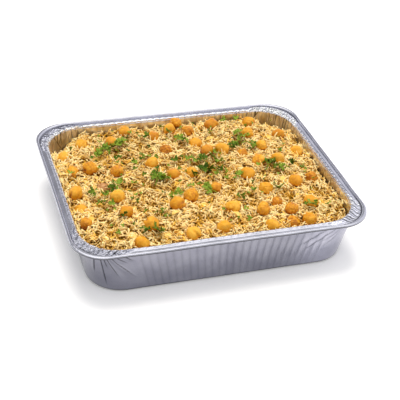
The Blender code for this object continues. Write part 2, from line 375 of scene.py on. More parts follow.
# %% [markdown]
# A few long folds also run down the front wall from under the rim at each end, where the foil
# was drawn in. Each fold is a narrow ridge: where it starts, how far it leans along the wall for
# each millimetre that it falls, how long it is and how deep.

# %% Long folds on the walls
# (corner, start along the arc, lean, length, depth), all but the corner and lean in metres
LONG_FOLDS = (
    (CORNER_FRONT_LEFT, 0.034, -0.22, 0.034, 0.0008),
    (CORNER_FRONT_LEFT, 0.0425, -0.05, 0.050, 0.0008),
    (CORNER_FRONT_LEFT, 0.046, 0.10, 0.022, 0.0006),
    (CORNER_FRONT_LEFT, 0.048, 0.32, 0.036, 0.0008),
    (CORNER_FRONT_LEFT, 0.053, 0.62, 0.038, 0.0008),
    (CORNER_FRONT_LEFT, 0.056, 0.98, 0.018, 0.0006),
    (CORNER_FRONT_LEFT, 0.062, 1.15, 0.016, 0.0006),
    (CORNER_FRONT_RIGHT, 0.000, -1.30, 0.026, 0.0005),
    (CORNER_FRONT_RIGHT, 0.009, -1.10, 0.034, 0.0006),
    (CORNER_FRONT_RIGHT, 0.015, -0.95, 0.024, 0.0005),
    (CORNER_FRONT_RIGHT, 0.019, -0.80, 0.030, 0.0005),
    (CORNER_FRONT_RIGHT, 0.024, -0.45, 0.020, 0.0006),
    (CORNER_FRONT_RIGHT, 0.029, -0.20, 0.026, 0.0005),
    (CORNER_BACK_LEFT, 0.020, 0.40, 0.020, 0.0008),
    (CORNER_BACK_LEFT, 0.034, -0.50, 0.024, 0.0008),
    (CORNER_BACK_RIGHT, 0.052, 0.60, 0.022, 0.0008),
)
FOLD_WIDTH = 0.0013
# A fold climbs gently and drops steeply. Its foot gets painted shade just past the drop.
# All in fold widths.
FOLD_CLIMB, FOLD_DROP = 2.2, 0.7
FOOT_PLACE, FOOT_WIDTH = 0.5, 0.42


def long_folds(fall):
    """How far the folds push the wall out at a fall below its top, and their feet's painted shade."""
    push, shade = np.zeros(len(TURN)), np.zeros(len(TURN))
    for corner, start, lean, length, depth in LONG_FOLDS:
        across = (CORNER_S - start - lean * fall) / (FOLD_WIDTH * math.hypot(1, lean))
        climb, drop = (np.exp(-(across / width) ** 2) for width in (FOLD_CLIMB, FOLD_DROP))
        here = (CORNER == corner) * smooth_step(3.0 * (1.0 - fall / length))
        push += depth * np.where(across < 0, climb, drop) * here
        shade = np.maximum(shade, here * np.exp(-((across - FOOT_PLACE) / FOOT_WIDTH) ** 2))
    return push, shade


def dents(x, y, z, size, seed):
    """Soft unevenness between -1 and 1, with dents about size wide."""
    away = Vector((seed, 0, 0))
    return np.array([noise.noise(Vector(place) / size + away) for place in zip(x, y, z)])


print(len(LONG_FOLDS), "long folds")

# %% [markdown]
# Seen from outside a flute is a broad rounded band between two sharp grooves, which get painted
# shade. The flutes die out at the ends of the sides and just under the rim. Round the front right
# corner the foil gets a painted highlight instead.

# %% Flutes and the painted gleam at the front right corner
# A flute's depth, how sharp its grooves are, how much painted shade they get, and how far below
# the wall's top it is at full depth.
FLUTE_DEPTH, GROOVE_SHARP, GROOVE_SHADE, FLUTE_FALL = 0.0007, 8, 0.16, 0.012
# What is left of a flute at the wall's top, and how the flutes end along a side: at this share of
# its half length, from a little past its middle, and this abruptly.
FLUTE_TOP, SIDE_REACH, SIDE_SHIFT, SIDE_END = 0.25, 0.93, 0.06, 14
# How strong the painted highlight round the front right corner is, and how far past its ends
# it reaches and fades.
CORNER_PAINTED_GLEAM, PAINTED_GLEAM_BEFORE, PAINTED_GLEAM_PAST = 0.50, 0.050, 0.045

GROOVE = np.abs(np.cos(math.pi * FLUTE)) ** GROOVE_SHARP
ON_SIDE = np.where(SHARE < 1.0, smooth_step((SIDE_REACH - np.abs(SHARE - SIDE_SHIFT)) * SIDE_END), 0.0)
PAINTED_GLEAM_ZONE = (
    rises(CORNER_S, -PAINTED_GLEAM_BEFORE, PAINTED_GLEAM_PAST) * fades(CORNER_S, CORNER_ARC + PAINTED_GLEAM_PAST, PAINTED_GLEAM_PAST)
    * (CORNER == CORNER_FRONT_RIGHT)
)
print(2 * (FLUTES_X + FLUTES_Y), "flutes round the tray")

# %% [markdown]
# Each ring of the wall is the outline at its height, moved in or out by the flutes, the pleats,
# the folds and a soft unevenness. With its place each point gets how much painted shade it has,
# below 0 a painted highlight, and how crushed it is.

# %% Wall rings
FOIL = 0.0004
BASE_FILLET = 0.0025
FILLET_PARTS = (0.0, 0.35, 0.7)
WALL_RINGS = 38
# How high over the floor of the tray the relief has come up.
RELIEF_HEIGHT = 0.006
# How fast painted shade darkens the pleats' dips with their depth, and how much is let off first.
PLEAT_SHADE, PLEAT_SHADE_FROM = 1.6, 0.4
WALL_DENT, WALL_DENT_SIZE, DENT_SEED = 0.00035, 0.030, 3
# The front corners bulge out under the rim: their radius is this much less a little below it.
FRONT_CORNERS = (CORNER_FRONT_LEFT, CORNER_FRONT_RIGHT)
BULGE, BULGE_FALL = 0.014, 0.006


def wall_ring(height, inset=0.0):
    """The wall's x, y and z at a height, its painted shade (below 0 a highlight) and how crushed it is."""
    share = height / WALL_TOP
    fall = WALL_TOP - height
    bulge = BULGE * np.isin(CORNER, FRONT_CORNERS) * smooth_step(fall / BULGE_FALL) * share
    radius = BASE_CORNER + (WALL_CORNER - BASE_CORNER) * share - inset - bulge
    draw_x, draw_y = (draft * (1 - share) + inset for draft in (WALL_DRAFT_X, WALL_DRAFT_Y))
    x, y = outline(WALL_HALF_X - draw_x, WALL_HALF_Y - draw_y, radius)
    z = np.full(len(x), height)

    upright = smooth_step(height / RELIEF_HEIGHT)
    shallow = FLUTE_TOP + (1 - FLUTE_TOP) * smooth_step(fall / FLUTE_FALL)
    flutes = FLUTE_DEPTH / 2 * (1.0 - 2.0 * GROOVE) * ON_SIDE * shallow
    folded = crimps(CORNER_S) * IN_CORNER * np.exp(-((fall / PLEAT_FALL) ** 2))
    fold_push, fold_shade = long_folds(fall)
    uneven = WALL_DENT * dents(x, y, z, WALL_DENT_SIZE, DENT_SEED)
    push = upright * (flutes + PLEAT_DEPTH * folded + fold_push + uneven)

    feet = np.maximum(fold_shade, GROOVE_SHADE * GROOVE * ON_SIDE)
    feet = np.maximum(feet, smooth_step(-PLEAT_SHADE * folded - PLEAT_SHADE_FROM))
    shade = upright * feet - CORNER_PAINTED_GLEAM * PAINTED_GLEAM_ZONE
    crush = upright * WALL_CRUSH * NEAR_CORNER * math.exp(-((fall / CRUSH_FALL) ** 2))
    return x + OUT_X * push, y + OUT_Y * push, z, shade, crush


def wall_rings():
    """The rings of the wall, from the round of its foot to its top."""
    for part in FILLET_PARTS:
        angle = part * math.pi / 2
        yield wall_ring(FOIL + BASE_FILLET * (1 - math.cos(angle)), BASE_FILLET * (1 - math.sin(angle)))
    for step in range(WALL_RINGS + 1):
        yield wall_ring(FOIL + BASE_FILLET + (WALL_TOP - FOIL - BASE_FILLET) * step / WALL_RINGS)


rings_of_wall = list(wall_rings())
print(len(rings_of_wall), "rings in the wall")

# %% [markdown]
# Foil is bright bare aluminium, rolled thin. It is neither a mirror nor matt: fine rolling lines
# blur it, handling leaves soft spots, and where the sheet is crushed it breaks into many small
# flat faces. Three finishes share this: the rim, the bright food side and the outside, whose
# darker tones are painted shade. So the effect is one node group. First comes its colour: clouds
# between two tones, a painted change of light low down on the wall and painted shade at its foot,
# and the painted shade in the feet of folds and the painted highlights that the mesh's `crease`
# values mark.

# %% Foil colour
FOIL_CLOUDS = 60.0
# The heights between which painted shade darkens the turn under the tray.
FOOT_FROM, FOOT_TO = 0.0014, 0.0032
# What is left of the light in a full crease.
CREASE_DARK = 0.08


def times(tree, first, second):
    """The product of two values."""
    product = add_node(tree, "ShaderNodeMath", operation="MULTIPLY")
    tree.links.new(first, product.inputs[0])
    tree.links.new(second, product.inputs[1])
    return product.outputs["Value"]


def foil_colour(tree, given, place, clouds):
    """The foil's colour, from the group's inputs and the clouds."""
    link = tree.links.new
    contrast = add_node(tree, "ShaderNodeMapRange", From_Min=0.3, From_Max=0.7)
    link(clouds.outputs["Fac"], contrast.inputs["Value"])
    tone = add_node(tree, "ShaderNodeMix", data_type="RGBA")
    link(contrast.outputs["Result"], tone.inputs["Factor"])
    link(given.outputs["Dark"], tone.inputs["A"])
    link(given.outputs["Bright"], tone.inputs["B"])

    split = add_node(tree, "ShaderNodeSeparateXYZ")
    link(place.outputs["Object"], split.inputs["Vector"])
    low = add_node(tree, "ShaderNodeMapRange", From_Max=RIM_TOP)
    link(split.outputs["Z"], low.inputs["Value"])
    link(given.outputs["Low Share"], low.inputs["To Min"])
    foot = add_node(tree, "ShaderNodeMapRange", From_Min=FOOT_FROM, From_Max=FOOT_TO)
    link(split.outputs["Z"], foot.inputs["Value"])
    link(given.outputs["Foot Share"], foot.inputs["To Min"])
    # The `crease` values are painted shade, and below 0 painted highlight.
    crease = add_node(tree, "ShaderNodeAttribute", attribute_name="crease")
    painted_shade_and_gleam = add_node(tree, "ShaderNodeMapRange", clamp=False, To_Min=1.0, To_Max=CREASE_DARK)
    link(crease.outputs["Fac"], painted_shade_and_gleam.inputs["Value"])
    lower = times(tree, low.outputs["Result"], foot.outputs["Result"])
    shade = add_node(tree, "ShaderNodeMix", data_type="RGBA", blend_type="MULTIPLY")
    shade.inputs["Factor"].default_value = 1.0
    link(tone.outputs["Result"], shade.inputs["A"])
    link(times(tree, lower, painted_shade_and_gleam.outputs["Result"]), shade.inputs["B"])
    return shade.outputs["Result"]


print("clouds about", round(1000 / FOIL_CLOUDS), "mm wide on the foil")

# %% [markdown]
# The relief of the foil is two bumps. One is the fine grain of rolling, everywhere. The other is
# flat faces like those of crushed foil, as strong as the mesh's `crush` value says. A Voronoi
# pattern gives them, because each of its cells is a cone with straight edges.

# %% Foil relief
FOIL_GRAIN, ROLLING_STRENGTH, ROLLING_DEPTH = 900.0, 0.12, 0.0002
FOIL_FACETS, FACET_DEPTH = 230.0, 0.0025


def foil_relief(tree, given, place):
    """The foil's normal, bumped by the rolling grain and the flat faces."""
    link = tree.links.new
    grain = add_node(tree, "ShaderNodeTexNoise", Scale=FOIL_GRAIN, Detail=2.0)
    link(place.outputs["Object"], grain.inputs["Vector"])
    fine = add_node(tree, "ShaderNodeBump", Strength=ROLLING_STRENGTH, Distance=ROLLING_DEPTH)
    link(grain.outputs["Fac"], fine.inputs["Height"])
    drawn_out = add_node(tree, "ShaderNodeVectorMath", operation="MULTIPLY")
    link(place.outputs["Object"], drawn_out.inputs[0])
    link(given.outputs["Pattern Scale"], drawn_out.inputs[1])
    facets = add_node(tree, "ShaderNodeTexVoronoi", Scale=FOIL_FACETS, Detail=1.0, Roughness=0.6)
    link(drawn_out.outputs["Vector"], facets.inputs["Vector"])
    crush = add_node(tree, "ShaderNodeAttribute", attribute_name="crush")
    coarse = add_node(tree, "ShaderNodeBump", Strength=1.0, Distance=FACET_DEPTH)
    link(times(tree, facets.outputs["Distance"], crush.outputs["Fac"]), coarse.inputs["Height"])
    link(fine.outputs["Normal"], coarse.inputs["Normal"])
    return coarse.outputs["Normal"]


print("flat faces about", round(1000 / FOIL_FACETS, 1), "mm wide on crushed foil")

# %% [markdown]
# The group puts the two together. What differs between the finishes is an input: the two tones,
# how hazy the foil is, how much light is left low down and at the foot, and how the pattern of
# flat faces is drawn out.

# %% The foil effect
# How much hazier the foil is in a bright cloud than in a dark one.
HAZE_SPREAD = 0.12


def new_group(name, inputs, outputs):
    """An empty node group with its sockets, its input node and its output node."""
    tree = bpy.data.node_groups.new(name, "ShaderNodeTree")
    for in_out, sockets in (("INPUT", inputs), ("OUTPUT", outputs)):
        for socket, kind in sockets.items():
            tree.interface.new_socket(socket, in_out=in_out, socket_type=kind)
    return tree, tree.nodes.new("NodeGroupInput"), tree.nodes.new("NodeGroupOutput")


def foil_group():
    """The whole foil effect as a node group."""
    tree, given, result = new_group(
        "pressed foil",
        {
            "Dark": "NodeSocketColor", "Bright": "NodeSocketColor", "Haze": "NodeSocketFloat",
            "Low Share": "NodeSocketFloat", "Foot Share": "NodeSocketFloat",
            "Pattern Scale": "NodeSocketVector",
        },
        {"Color": "NodeSocketColor", "Roughness": "NodeSocketFloat", "Normal": "NodeSocketVector"},
    )
    link = tree.links.new
    place = add_node(tree, "ShaderNodeTexCoord")
    clouds = add_node(tree, "ShaderNodeTexNoise", Scale=FOIL_CLOUDS, Detail=4.0)
    link(place.outputs["Object"], clouds.inputs["Vector"])
    haze = add_node(tree, "ShaderNodeMath", operation="MULTIPLY_ADD")
    haze.inputs[1].default_value = HAZE_SPREAD
    link(clouds.outputs["Fac"], haze.inputs[0])
    link(given.outputs["Haze"], haze.inputs[2])
    link(foil_colour(tree, given, place, clouds), result.inputs["Color"])
    link(haze.outputs["Value"], result.inputs["Roughness"])
    link(foil_relief(tree, given, place), result.inputs["Normal"])
    return tree


pressed_foil = foil_group()
print(pressed_foil.name, "has", len(pressed_foil.nodes), "nodes")

# %% [markdown]
# Each foil finish places the group with its own values. The outside's darker tones are painted
# shade, and it is darkest, with more painted shade, where the wall turns under the tray. On the
# walls the pattern is drawn out upright, the way the sheet was drawn into the form.

# %% Foil finishes
def foil_finish(name, **values):
    """A metal that places the foil effect with its own values."""
    foil, tree, shader = shader_material(name)
    shader.inputs["Metallic"].default_value = 1.0
    effect = tree.nodes.new("ShaderNodeGroup")
    effect.node_tree = pressed_foil
    for key, value in values.items():
        effect.inputs[key.replace("_", " ")].default_value = value
    tree.links.new(effect.outputs["Color"], shader.inputs["Base Color"])
    tree.links.new(effect.outputs["Roughness"], shader.inputs["Roughness"])
    tree.links.new(effect.outputs["Normal"], shader.inputs["Normal"])
    return foil


EVEN, UPRIGHT = (1.0, 1.0, 1.0), (1.0, 1.0, 0.12)
rim_foil = foil_finish(
    "foil, rim", Dark=(0.61, 0.615, 0.69, 1.0), Bright=(0.73, 0.735, 0.82, 1.0), Haze=0.16,
    Low_Share=1.0, Foot_Share=1.0, Pattern_Scale=EVEN,
)
bright_side = foil_finish(
    "foil, food side", Dark=(0.78, 0.75, 0.79, 1.0), Bright=(0.93, 0.89, 0.93, 1.0), Haze=0.26,
    Low_Share=1.0, Foot_Share=1.0, Pattern_Scale=UPRIGHT,
)
# The outside's dark tones are painted shade, and so is its darker foot.
outside_painted_dark = foil_finish(
    "foil, outside in painted shade", Dark=(0.235, 0.235, 0.285, 1.0), Bright=(0.295, 0.295, 0.345, 1.0), Haze=0.16,
    Low_Share=1.1, Foot_Share=0.12, Pattern_Scale=UPRIGHT,
)
print("finishes:", ", ".join(finish.name for finish in (rim_foil, bright_side, outside_painted_dark)))

# %% [markdown]
# The tray is made the way it is pressed: a flat sheet whose edge is pushed down step by step. A
# circle with one face is added, and its face is pushed down once for each ring. The face that is
# left over at the top is then taken away, and each ring is set to its own outline.

# %% Push a sheet into rings
SHEET_START, RING_STEP = 1.0, 0.01


def deselect_all():
    """Deselects every object, because an operator acts on all that is selected."""
    bpy.ops.object.select_all(action="DESELECT")


def pushed_rings(name, rings, closed):
    """A sheet of rings, given from the first pushed to the last. closed keeps the last one's face."""
    deselect_all()
    bpy.ops.mesh.primitive_circle_add(
        vertices=len(TURN), radius=0.1, fill_type="NGON" if closed else "NOTHING",
        location=(0, 0, SHEET_START),
    )
    piece = bpy.context.object
    piece.name = name
    bpy.ops.object.transform_apply(location=True)
    bpy.ops.object.mode_set(mode="EDIT")
    bpy.ops.mesh.select_all(action="SELECT")
    for _ in range(len(rings) - 1):
        bpy.ops.mesh.extrude_region_move(TRANSFORM_OT_translate={"value": (0.0, 0.0, -RING_STEP)})
    bpy.ops.mesh.select_all(action="DESELECT")
    bpy.ops.object.mode_set(mode="OBJECT")
    for face in piece.data.polygons:
        at_top = face.center.z > SHEET_START - RING_STEP / 2
        face.select = closed and len(face.vertices) > 4 and at_top
    bpy.ops.object.mode_set(mode="EDIT")
    bpy.ops.mesh.delete(type="ONLY_FACE")
    bpy.ops.object.mode_set(mode="OBJECT")

    points = np.empty(len(piece.data.vertices) * 3)
    piece.data.vertices.foreach_get("co", points)
    points = points.reshape(-1, 3)
    level = np.rint((SHEET_START - points[:, 2]) / RING_STEP).astype(int)
    angle = np.arctan2(points[:, 1], points[:, 0])
    place = np.rint(angle / (2 * math.pi) * len(TURN)).astype(int) % len(TURN)
    shaped = np.array([np.column_stack(ring) for ring in rings])[level, place]
    piece.data.vertices.foreach_set("co", np.ascontiguousarray(shaped[:, :3]).ravel())
    # Column 3 is each point's painted shade, below 0 its painted highlight; column 4 is how crushed it is.
    for column, key in ((3, "crease"), (4, "crush")):
        values = piece.data.attributes.new(key, "FLOAT", "POINT").data
        values.foreach_set("value", shaped[:, column].copy())
    piece.data.update()
    return piece


wall_sheet = pushed_rings("foil_wall", rings_of_wall[::-1], closed=True)
print(wall_sheet.name, len(wall_sheet.data.vertices), "points")

# %% [markdown]
# Solidify then gives the sheet its thickness, on the outside. It can put the new side in another
# material slot, so the two sides of the foil get their own finishes.

# %% Give the sheet its thickness
def finish_sheet(piece, thickness, inside, outside):
    """Faces point to the food side, and the thickness goes on behind them in the second finish."""
    deselect_all()
    bpy.context.view_layer.objects.active = piece
    piece.select_set(True)
    bpy.ops.object.mode_set(mode="EDIT")
    bpy.ops.mesh.select_all(action="SELECT")
    bpy.ops.mesh.normals_make_consistent(inside=False)
    bpy.ops.object.mode_set(mode="OBJECT")
    mesh = piece.data
    upward = sum(face.normal.z * face.area for face in mesh.polygons)
    if upward < 0:
        bpy.ops.object.mode_set(mode="EDIT")
        bpy.ops.mesh.select_all(action="SELECT")
        bpy.ops.mesh.flip_normals()
        bpy.ops.object.mode_set(mode="OBJECT")
    mesh.materials.append(inside)
    mesh.materials.append(outside)
    skin = piece.modifiers.new("Thickness", "SOLIDIFY")
    skin.thickness = thickness
    skin.offset = -1.0
    skin.material_offset = 1
    skin.material_offset_rim = 0
    bpy.ops.object.modifier_apply(modifier=skin.name)
    bpy.ops.object.shade_smooth()
    return piece


foil_wall = finish_sheet(wall_sheet, FOIL, bright_side, outside_painted_dark)
print(foil_wall.name, len(foil_wall.data.polygons), "faces")

# %% [markdown]
# The rim carries on from the wall's top: a raised lip scalloped by the flutes, a shallow band,
# and the bead that curls over and under. Behind on the right the lip is drawn out wide and leans
# in. On the front left the foil has sunk into a short gully beside the bead.

# %% Rim profile
BEAD_RADIUS = 0.00175
# (inset from the rim's edge, height under the rim's top) from the wall's top out to the bead
LIP_TO_BAND = (
    (0.0120, 0.0028), (0.0119, 0.0020), (0.0115, 0.0012), (0.0108, 0.0007), (0.0100, 0.0005),
    (0.0092, 0.0006), (0.0085, 0.0010), (0.0079, 0.0015), (0.0074, 0.0018), (0.0071, 0.00185),
    (0.0055, 0.00185), (0.0041, 0.00185), (0.0038, 0.0021), (0.0035, 0.0027),
)
# (inset, height under the rim's top) of the wide lip, from the flange in to the wall's top
WIDE_LIP = ((0.0041, 0.00185), (0.0056, 0.0015), (0.0068, 0.0002), (0.0090, 0.0013), (0.0120, 0.0030))
IS_WIDE = (CORNER == CORNER_BACK_RIGHT) * IN_CORNER
BEAD_STEPS = 18
BEAD_START, BEAD_END = math.radians(-12), math.radians(250)
GULLY_ARC, GULLY_FADE, GULLY_DEPTH = (0.016, 0.047), 0.004, 0.0012
GULLY = (
    (CORNER == CORNER_FRONT_LEFT) * rises(CORNER_S, GULLY_ARC[0], GULLY_FADE)
    * fades(CORNER_S, GULLY_ARC[1], GULLY_FADE)
)
# The flutes scallop the lip, each by its own strength, and hardly at all along the front.
FLUTE_NUMBER = (FLUTE + 0.5).astype(int) + np.rint(TURN / (math.pi / 2)).astype(int) * FLUTES_X
FLUTE_STRENGTH = np.random.default_rng(12).uniform(0.25, 1.3, FLUTE_NUMBER.max() + 1)[FLUTE_NUMBER]
LIP_SCALLOP = np.where(np.isclose(TURN, 1.5 * math.pi), 0.25, 0.9) * FLUTE_STRENGTH
print("rim:", len(LIP_TO_BAND), "rings to the bead and", BEAD_STEPS + 1, "round it")

# %% [markdown]
# In the corners sharp thin folds cross the flange like rays. Each is a line that starts at the
# lip and leans as it runs out, a little sunk and darkened with painted shade.

# %% Rays
# (corner, start along the arc at the lip, lean along the arc on the way out, how dark its
# painted shade is and how wide)
RAYS = (
    (CORNER_FRONT_RIGHT, 0.0105, 0.20, 0.5), (CORNER_FRONT_RIGHT, 0.0150, 0.15, 1.0),
    (CORNER_FRONT_RIGHT, 0.0195, 0.15, 1.0), (CORNER_FRONT_RIGHT, 0.0240, 0.05, 1.0),
    (CORNER_FRONT_RIGHT, 0.0285, -0.15, 0.7), (CORNER_FRONT_RIGHT, 0.0335, -0.50, 0.9),
    (CORNER_FRONT_RIGHT, 0.0385, -0.35, 0.7), (CORNER_FRONT_RIGHT, 0.0425, -0.40, 0.5),
    (CORNER_FRONT_RIGHT, 0.0470, -0.45, 0.8), (CORNER_FRONT_RIGHT, 0.0515, -0.35, 0.5),
    (CORNER_FRONT_RIGHT, 0.0570, -0.70, 0.8),
    (CORNER_FRONT_LEFT, 0.0040, 0.60, 0.5), (CORNER_FRONT_LEFT, 0.0230, -0.60, 0.5),
    (CORNER_FRONT_LEFT, 0.0380, 0.80, 0.5), (CORNER_FRONT_LEFT, 0.0500, 0.10, 0.7),
    (CORNER_FRONT_LEFT, 0.0575, -0.20, 0.9), (CORNER_FRONT_LEFT, 0.0660, 0.50, 0.5),
    (CORNER_BACK_LEFT, 0.0060, 0.30, 0.7), (CORNER_BACK_LEFT, 0.0150, -0.30, 0.9),
    (CORNER_BACK_LEFT, 0.0240, 0.20, 0.6), (CORNER_BACK_LEFT, 0.0330, 0.50, 0.9),
    (CORNER_BACK_LEFT, 0.0410, -0.20, 0.8), (CORNER_BACK_LEFT, 0.0520, 0.10, 0.8),
    (CORNER_BACK_RIGHT, 0.0090, 0.60, 0.4), (CORNER_BACK_RIGHT, 0.0240, -0.60, 0.5),
    (CORNER_BACK_RIGHT, 0.0450, 0.70, 0.4),
)
RAY_WIDTH, RAY_DEPTH = 0.00130, 0.00025


def rays_at(inset):
    """How strongly each column is in a ray at this inset."""
    strength = np.zeros(len(TURN))
    for corner, start, lean, dark in RAYS:
        across = (CORNER_S - start - lean * (FLANGE_WIDTH - inset)) / (RAY_WIDTH * dark)
        strength = np.maximum(strength, dark * np.exp(-(across ** 2)) * (CORNER == corner))
    return strength


print(len(RAYS), "rays")

# %% [markdown]
# The rim gets painted highlights, called gleams, and painted shade where it turns away from the
# light. These values differ from corner to corner, in the order back right, back left, front left
# and front right. A gleam is a `crease` below 0.

# %% Gleam and shade on the rim
# How much painted highlight brightens the flange between the rays.
FLANGE_GLEAM = np.array((0.15, 0.15, 0.0, 0.40))
# The lip itself carries a painted highlight, most of all behind.
LIP_GLEAM = np.array((0.45, 0.60, 0.30, 0.20))
WIDE_LIP_GLEAM = 0.35
# How dark the painted shade line is where the flange turns up into the bead.
BEAD_LINE = np.array((0.2, 0.45, 0.0, 0.75))
# The underside of the bead gets painted shade from this angle on.
BEAD_SHADE, BEAD_SHADE_FROM, BEAD_SHADE_TURN = 0.95, math.radians(154), 0.25
SCALLOP_SHADE = 0.4
# (inset, width) of the painted shade line under the bead and of the gully's painted shade
BEAD_LINE_AT, GULLY_SHADE_AT = (0.0040, 0.0005), (0.0042, 0.0010)
# The insets from which the lip gleams, and the wide lip too.
LIP_GLEAM_FROM, WIDE_GLEAM_FROM = 0.0098, 0.0055


def near(inset, middle, width):
    """1 at the middle inset, and close to 0 a few widths from it."""
    return math.exp(-(((inset - middle) / width) ** 2))


def rim_shade(inset, streaks, on_lip, flat, groove, underside):
    """The painted shade of each point of a rim ring, and its painted highlight where below 0."""
    line = BEAD_LINE[CORNER] * IN_CORNER * near(inset, *BEAD_LINE_AT)
    shade = np.maximum(np.maximum(streaks, line), GULLY * near(inset, *GULLY_SHADE_AT))
    shade = np.maximum(shade, SCALLOP_SHADE * on_lip * groove ** 3 * (SHARE < 1.0))
    shade = np.maximum(shade, underside)
    shade = shade - FLANGE_GLEAM[CORNER] * IN_CORNER * flat * (1.0 - streaks)
    shade = shade - LIP_GLEAM[CORNER] * rises(inset, LIP_GLEAM_FROM, 0.001)
    return shade - WIDE_LIP_GLEAM * IS_WIDE * rises(inset, WIDE_GLEAM_FROM, 0.001)


print("lips gleam up to", LIP_GLEAM.max())

# %% [markdown]
# Now the rings of the rim are like those of the wall: an outline at its inset and height, moved
# by the scallops, the crimps, the rays, the gully and a soft unevenness.

# %% Rim rings
# The insets between which the flange is flat, and over which the lip rises.
FLAT_FROM, FLAT_TO, LIP_FROM, LIP_RISE = 0.0040, 0.0118, 0.0070, 0.003
SCALLOP_LIFT, SCALLOP_PUSH = 0.00022, 0.00030
# How far the crimps lean along the arc on their way across the flange, and from which inset.
CRIMP_LEAN, CRIMP_FROM = 0.25, 0.008
# (inset, width) of the gully
GULLY_AT = (0.0046, 0.0007)
# The flange is crushed from this inset on, and the lip only a little.
CRUSH_FROM, LIP_CRUSH = 0.0034, 0.15
# What is left of the crimps' height on the bead and the lip.
CRIMPS_PAST_FLAT = 0.12
RIM_SAG, RIM_SAG_SIZE, RIM_SAG_SEED = 0.00045, 0.045, 11
RIM_WAVER, RIM_WAVER_SIZE = 0.00035, 0.035


def rim_ring(inset, drop, underside=0.0):
    """The rim's x, y and z at an inset and a drop, its painted shade, and how crushed it is."""
    ease = min(inset / FLANGE_WIDTH, 1.0)
    x, y = outline(HALF_X - inset, HALF_Y - inset, RIM_CORNER + (WALL_CORNER - RIM_CORNER) * ease)
    wide = np.interp(inset, *zip(*WIDE_LIP)) if inset > WIDE_LIP[0][0] else drop
    z = RIM_TOP - drop - IS_WIDE * (wide - drop)

    on_lip = rises(inset, LIP_FROM, LIP_RISE)
    flat = rises(inset, FLAT_FROM, 0.002) * fades(inset, FLAT_TO, 0.001)
    groove = np.where(SHARE < 1.0, np.abs(np.cos(math.pi * FLUTE)) ** 4, 0.5)
    scallop = (1.0 - 2.0 * groove) * on_lip * LIP_SCALLOP
    slant = CORNER_S + CRIMP_LEAN * (CRIMP_FROM - inset) * np.where(CORNER % 2, 1, -1)
    crimped = crimps(slant) * IN_CORNER * CRIMP_HEIGHT
    streaks = flat * rays_at(inset)

    lift = flat * crimped + SCALLOP_LIFT * scallop * (1 if inset < FLAT_TO else 0)
    lift = lift + RIM_SAG * dents(x, y, z, RIM_SAG_SIZE, RIM_SAG_SEED)
    lift = lift + CRIMPS_PAST_FLAT * crimped * (1 - flat)
    lift = lift - GULLY_DEPTH * GULLY * near(inset, *GULLY_AT) - RAY_DEPTH * streaks
    push = SCALLOP_PUSH * scallop + RIM_WAVER * dents(x, y, z, RIM_WAVER_SIZE, DENT_SEED)
    shade = rim_shade(inset, streaks, on_lip, flat, groove, underside)
    crush = FLANGE_CRUSH * IN_CORNER * rises(inset, CRUSH_FROM, 0.001) + LIP_CRUSH * on_lip
    return x + OUT_X * push, y + OUT_Y * push, z + lift, shade, crush


def rim_rings():
    """The rings of the rim, from the wall's top out over the band and round the bead."""
    for inset, drop in LIP_TO_BAND:
        yield rim_ring(inset, drop)
    for step in range(BEAD_STEPS + 1):
        angle = BEAD_START + (BEAD_END - BEAD_START) * step / BEAD_STEPS
        underside = BEAD_SHADE * rises(angle, BEAD_SHADE_FROM, BEAD_SHADE_TURN)
        yield rim_ring(BEAD_RADIUS * (1 + math.cos(angle)), BEAD_RADIUS * (1 - math.sin(angle)), underside)


foil_rim = finish_sheet(pushed_rings("foil_rim", list(rim_rings()), closed=False), FOIL, rim_foil, rim_foil)
print(foil_rim.name, len(foil_rim.data.polygons), "faces")

# %% [markdown]
# Both sheets ride on the tray's body. Together they stand for the packed tray, whose solid stays
# hidden for contacts.

# %% Put the tray in its place
for piece in (foil_wall, foil_rim):
    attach(piece, "root")
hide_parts("foil_tray")
print("the foil replaces the packed tray")

# %% [markdown]
# ## The rice heap
#
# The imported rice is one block. The real heap is loose grains, but only the top few layers show,
# so a hidden core carries them. The core follows the heap's height: nearly level, lower along
# the walls and lowest in the back corners, with soft lumps where rice clings together.

# %% Heap height
RICE_MIDDLE = 0.0520
FALL_LEFT, FALL_RIGHT, FALL_FRONT, FALL_BACK = 0.005, 0.008, 0.004, 0.0070
# How much lower each corner lies, by the signs of its x and y.
FALL_CORNERS = {(-1, -1): 0.003, (1, -1): 0.009, (-1, 1): 0.020, (1, 1): 0.011}
LUMP_SIZE, LUMP_HEIGHT = 0.03, 0.0018


def heap_height(x, y):
    """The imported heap's height, with its broad lumps."""
    wall_x = np.where(x > 0, FALL_RIGHT, FALL_LEFT)
    wall_y = np.where(y > 0, FALL_BACK, FALL_FRONT)
    past_x = np.maximum(0, np.abs(x) - (WALL_HALF_X - WALL_CORNER)) / WALL_CORNER
    past_y = np.maximum(0, np.abs(y) - (WALL_HALF_Y - WALL_CORNER)) / WALL_CORNER
    corner = np.zeros_like(x)
    for (side_x, side_y), fall in FALL_CORNERS.items():
        corner = np.where((np.sign(x) == side_x) & (np.sign(y) == side_y), fall, corner)
    walls = wall_x * np.abs(x / WALL_HALF_X) ** 6 + wall_y * np.abs(y / WALL_HALF_Y) ** 6
    places = zip(x.ravel() / LUMP_SIZE, y.ravel() / LUMP_SIZE)
    lump = np.array([noise.noise(Vector((a, b, 0.5))) for a, b in places]).reshape(x.shape)
    return RICE_MIDDLE - walls - corner * 2 * past_x * past_y + LUMP_HEIGHT * lump


middle, edge = (heap_height(np.array([x]), np.array([0.0]))[0] for x in (0.0, WALL_HALF_X))
print("the heap is", round(middle * 1000), "mm high in the middle,", round(edge * 1000), "at the right wall")

# %% [markdown]
# Loose rice is not smooth: it clings in tufts about as wide as a grain is long, and it climbs a
# little round each chickpea. The tufts come from a Voronoi pattern, highest where a tuft's middle
# is near, and wander sideways so that they don't look like a net.

# %% Tufts and mounds
CHICKPEAS = 52
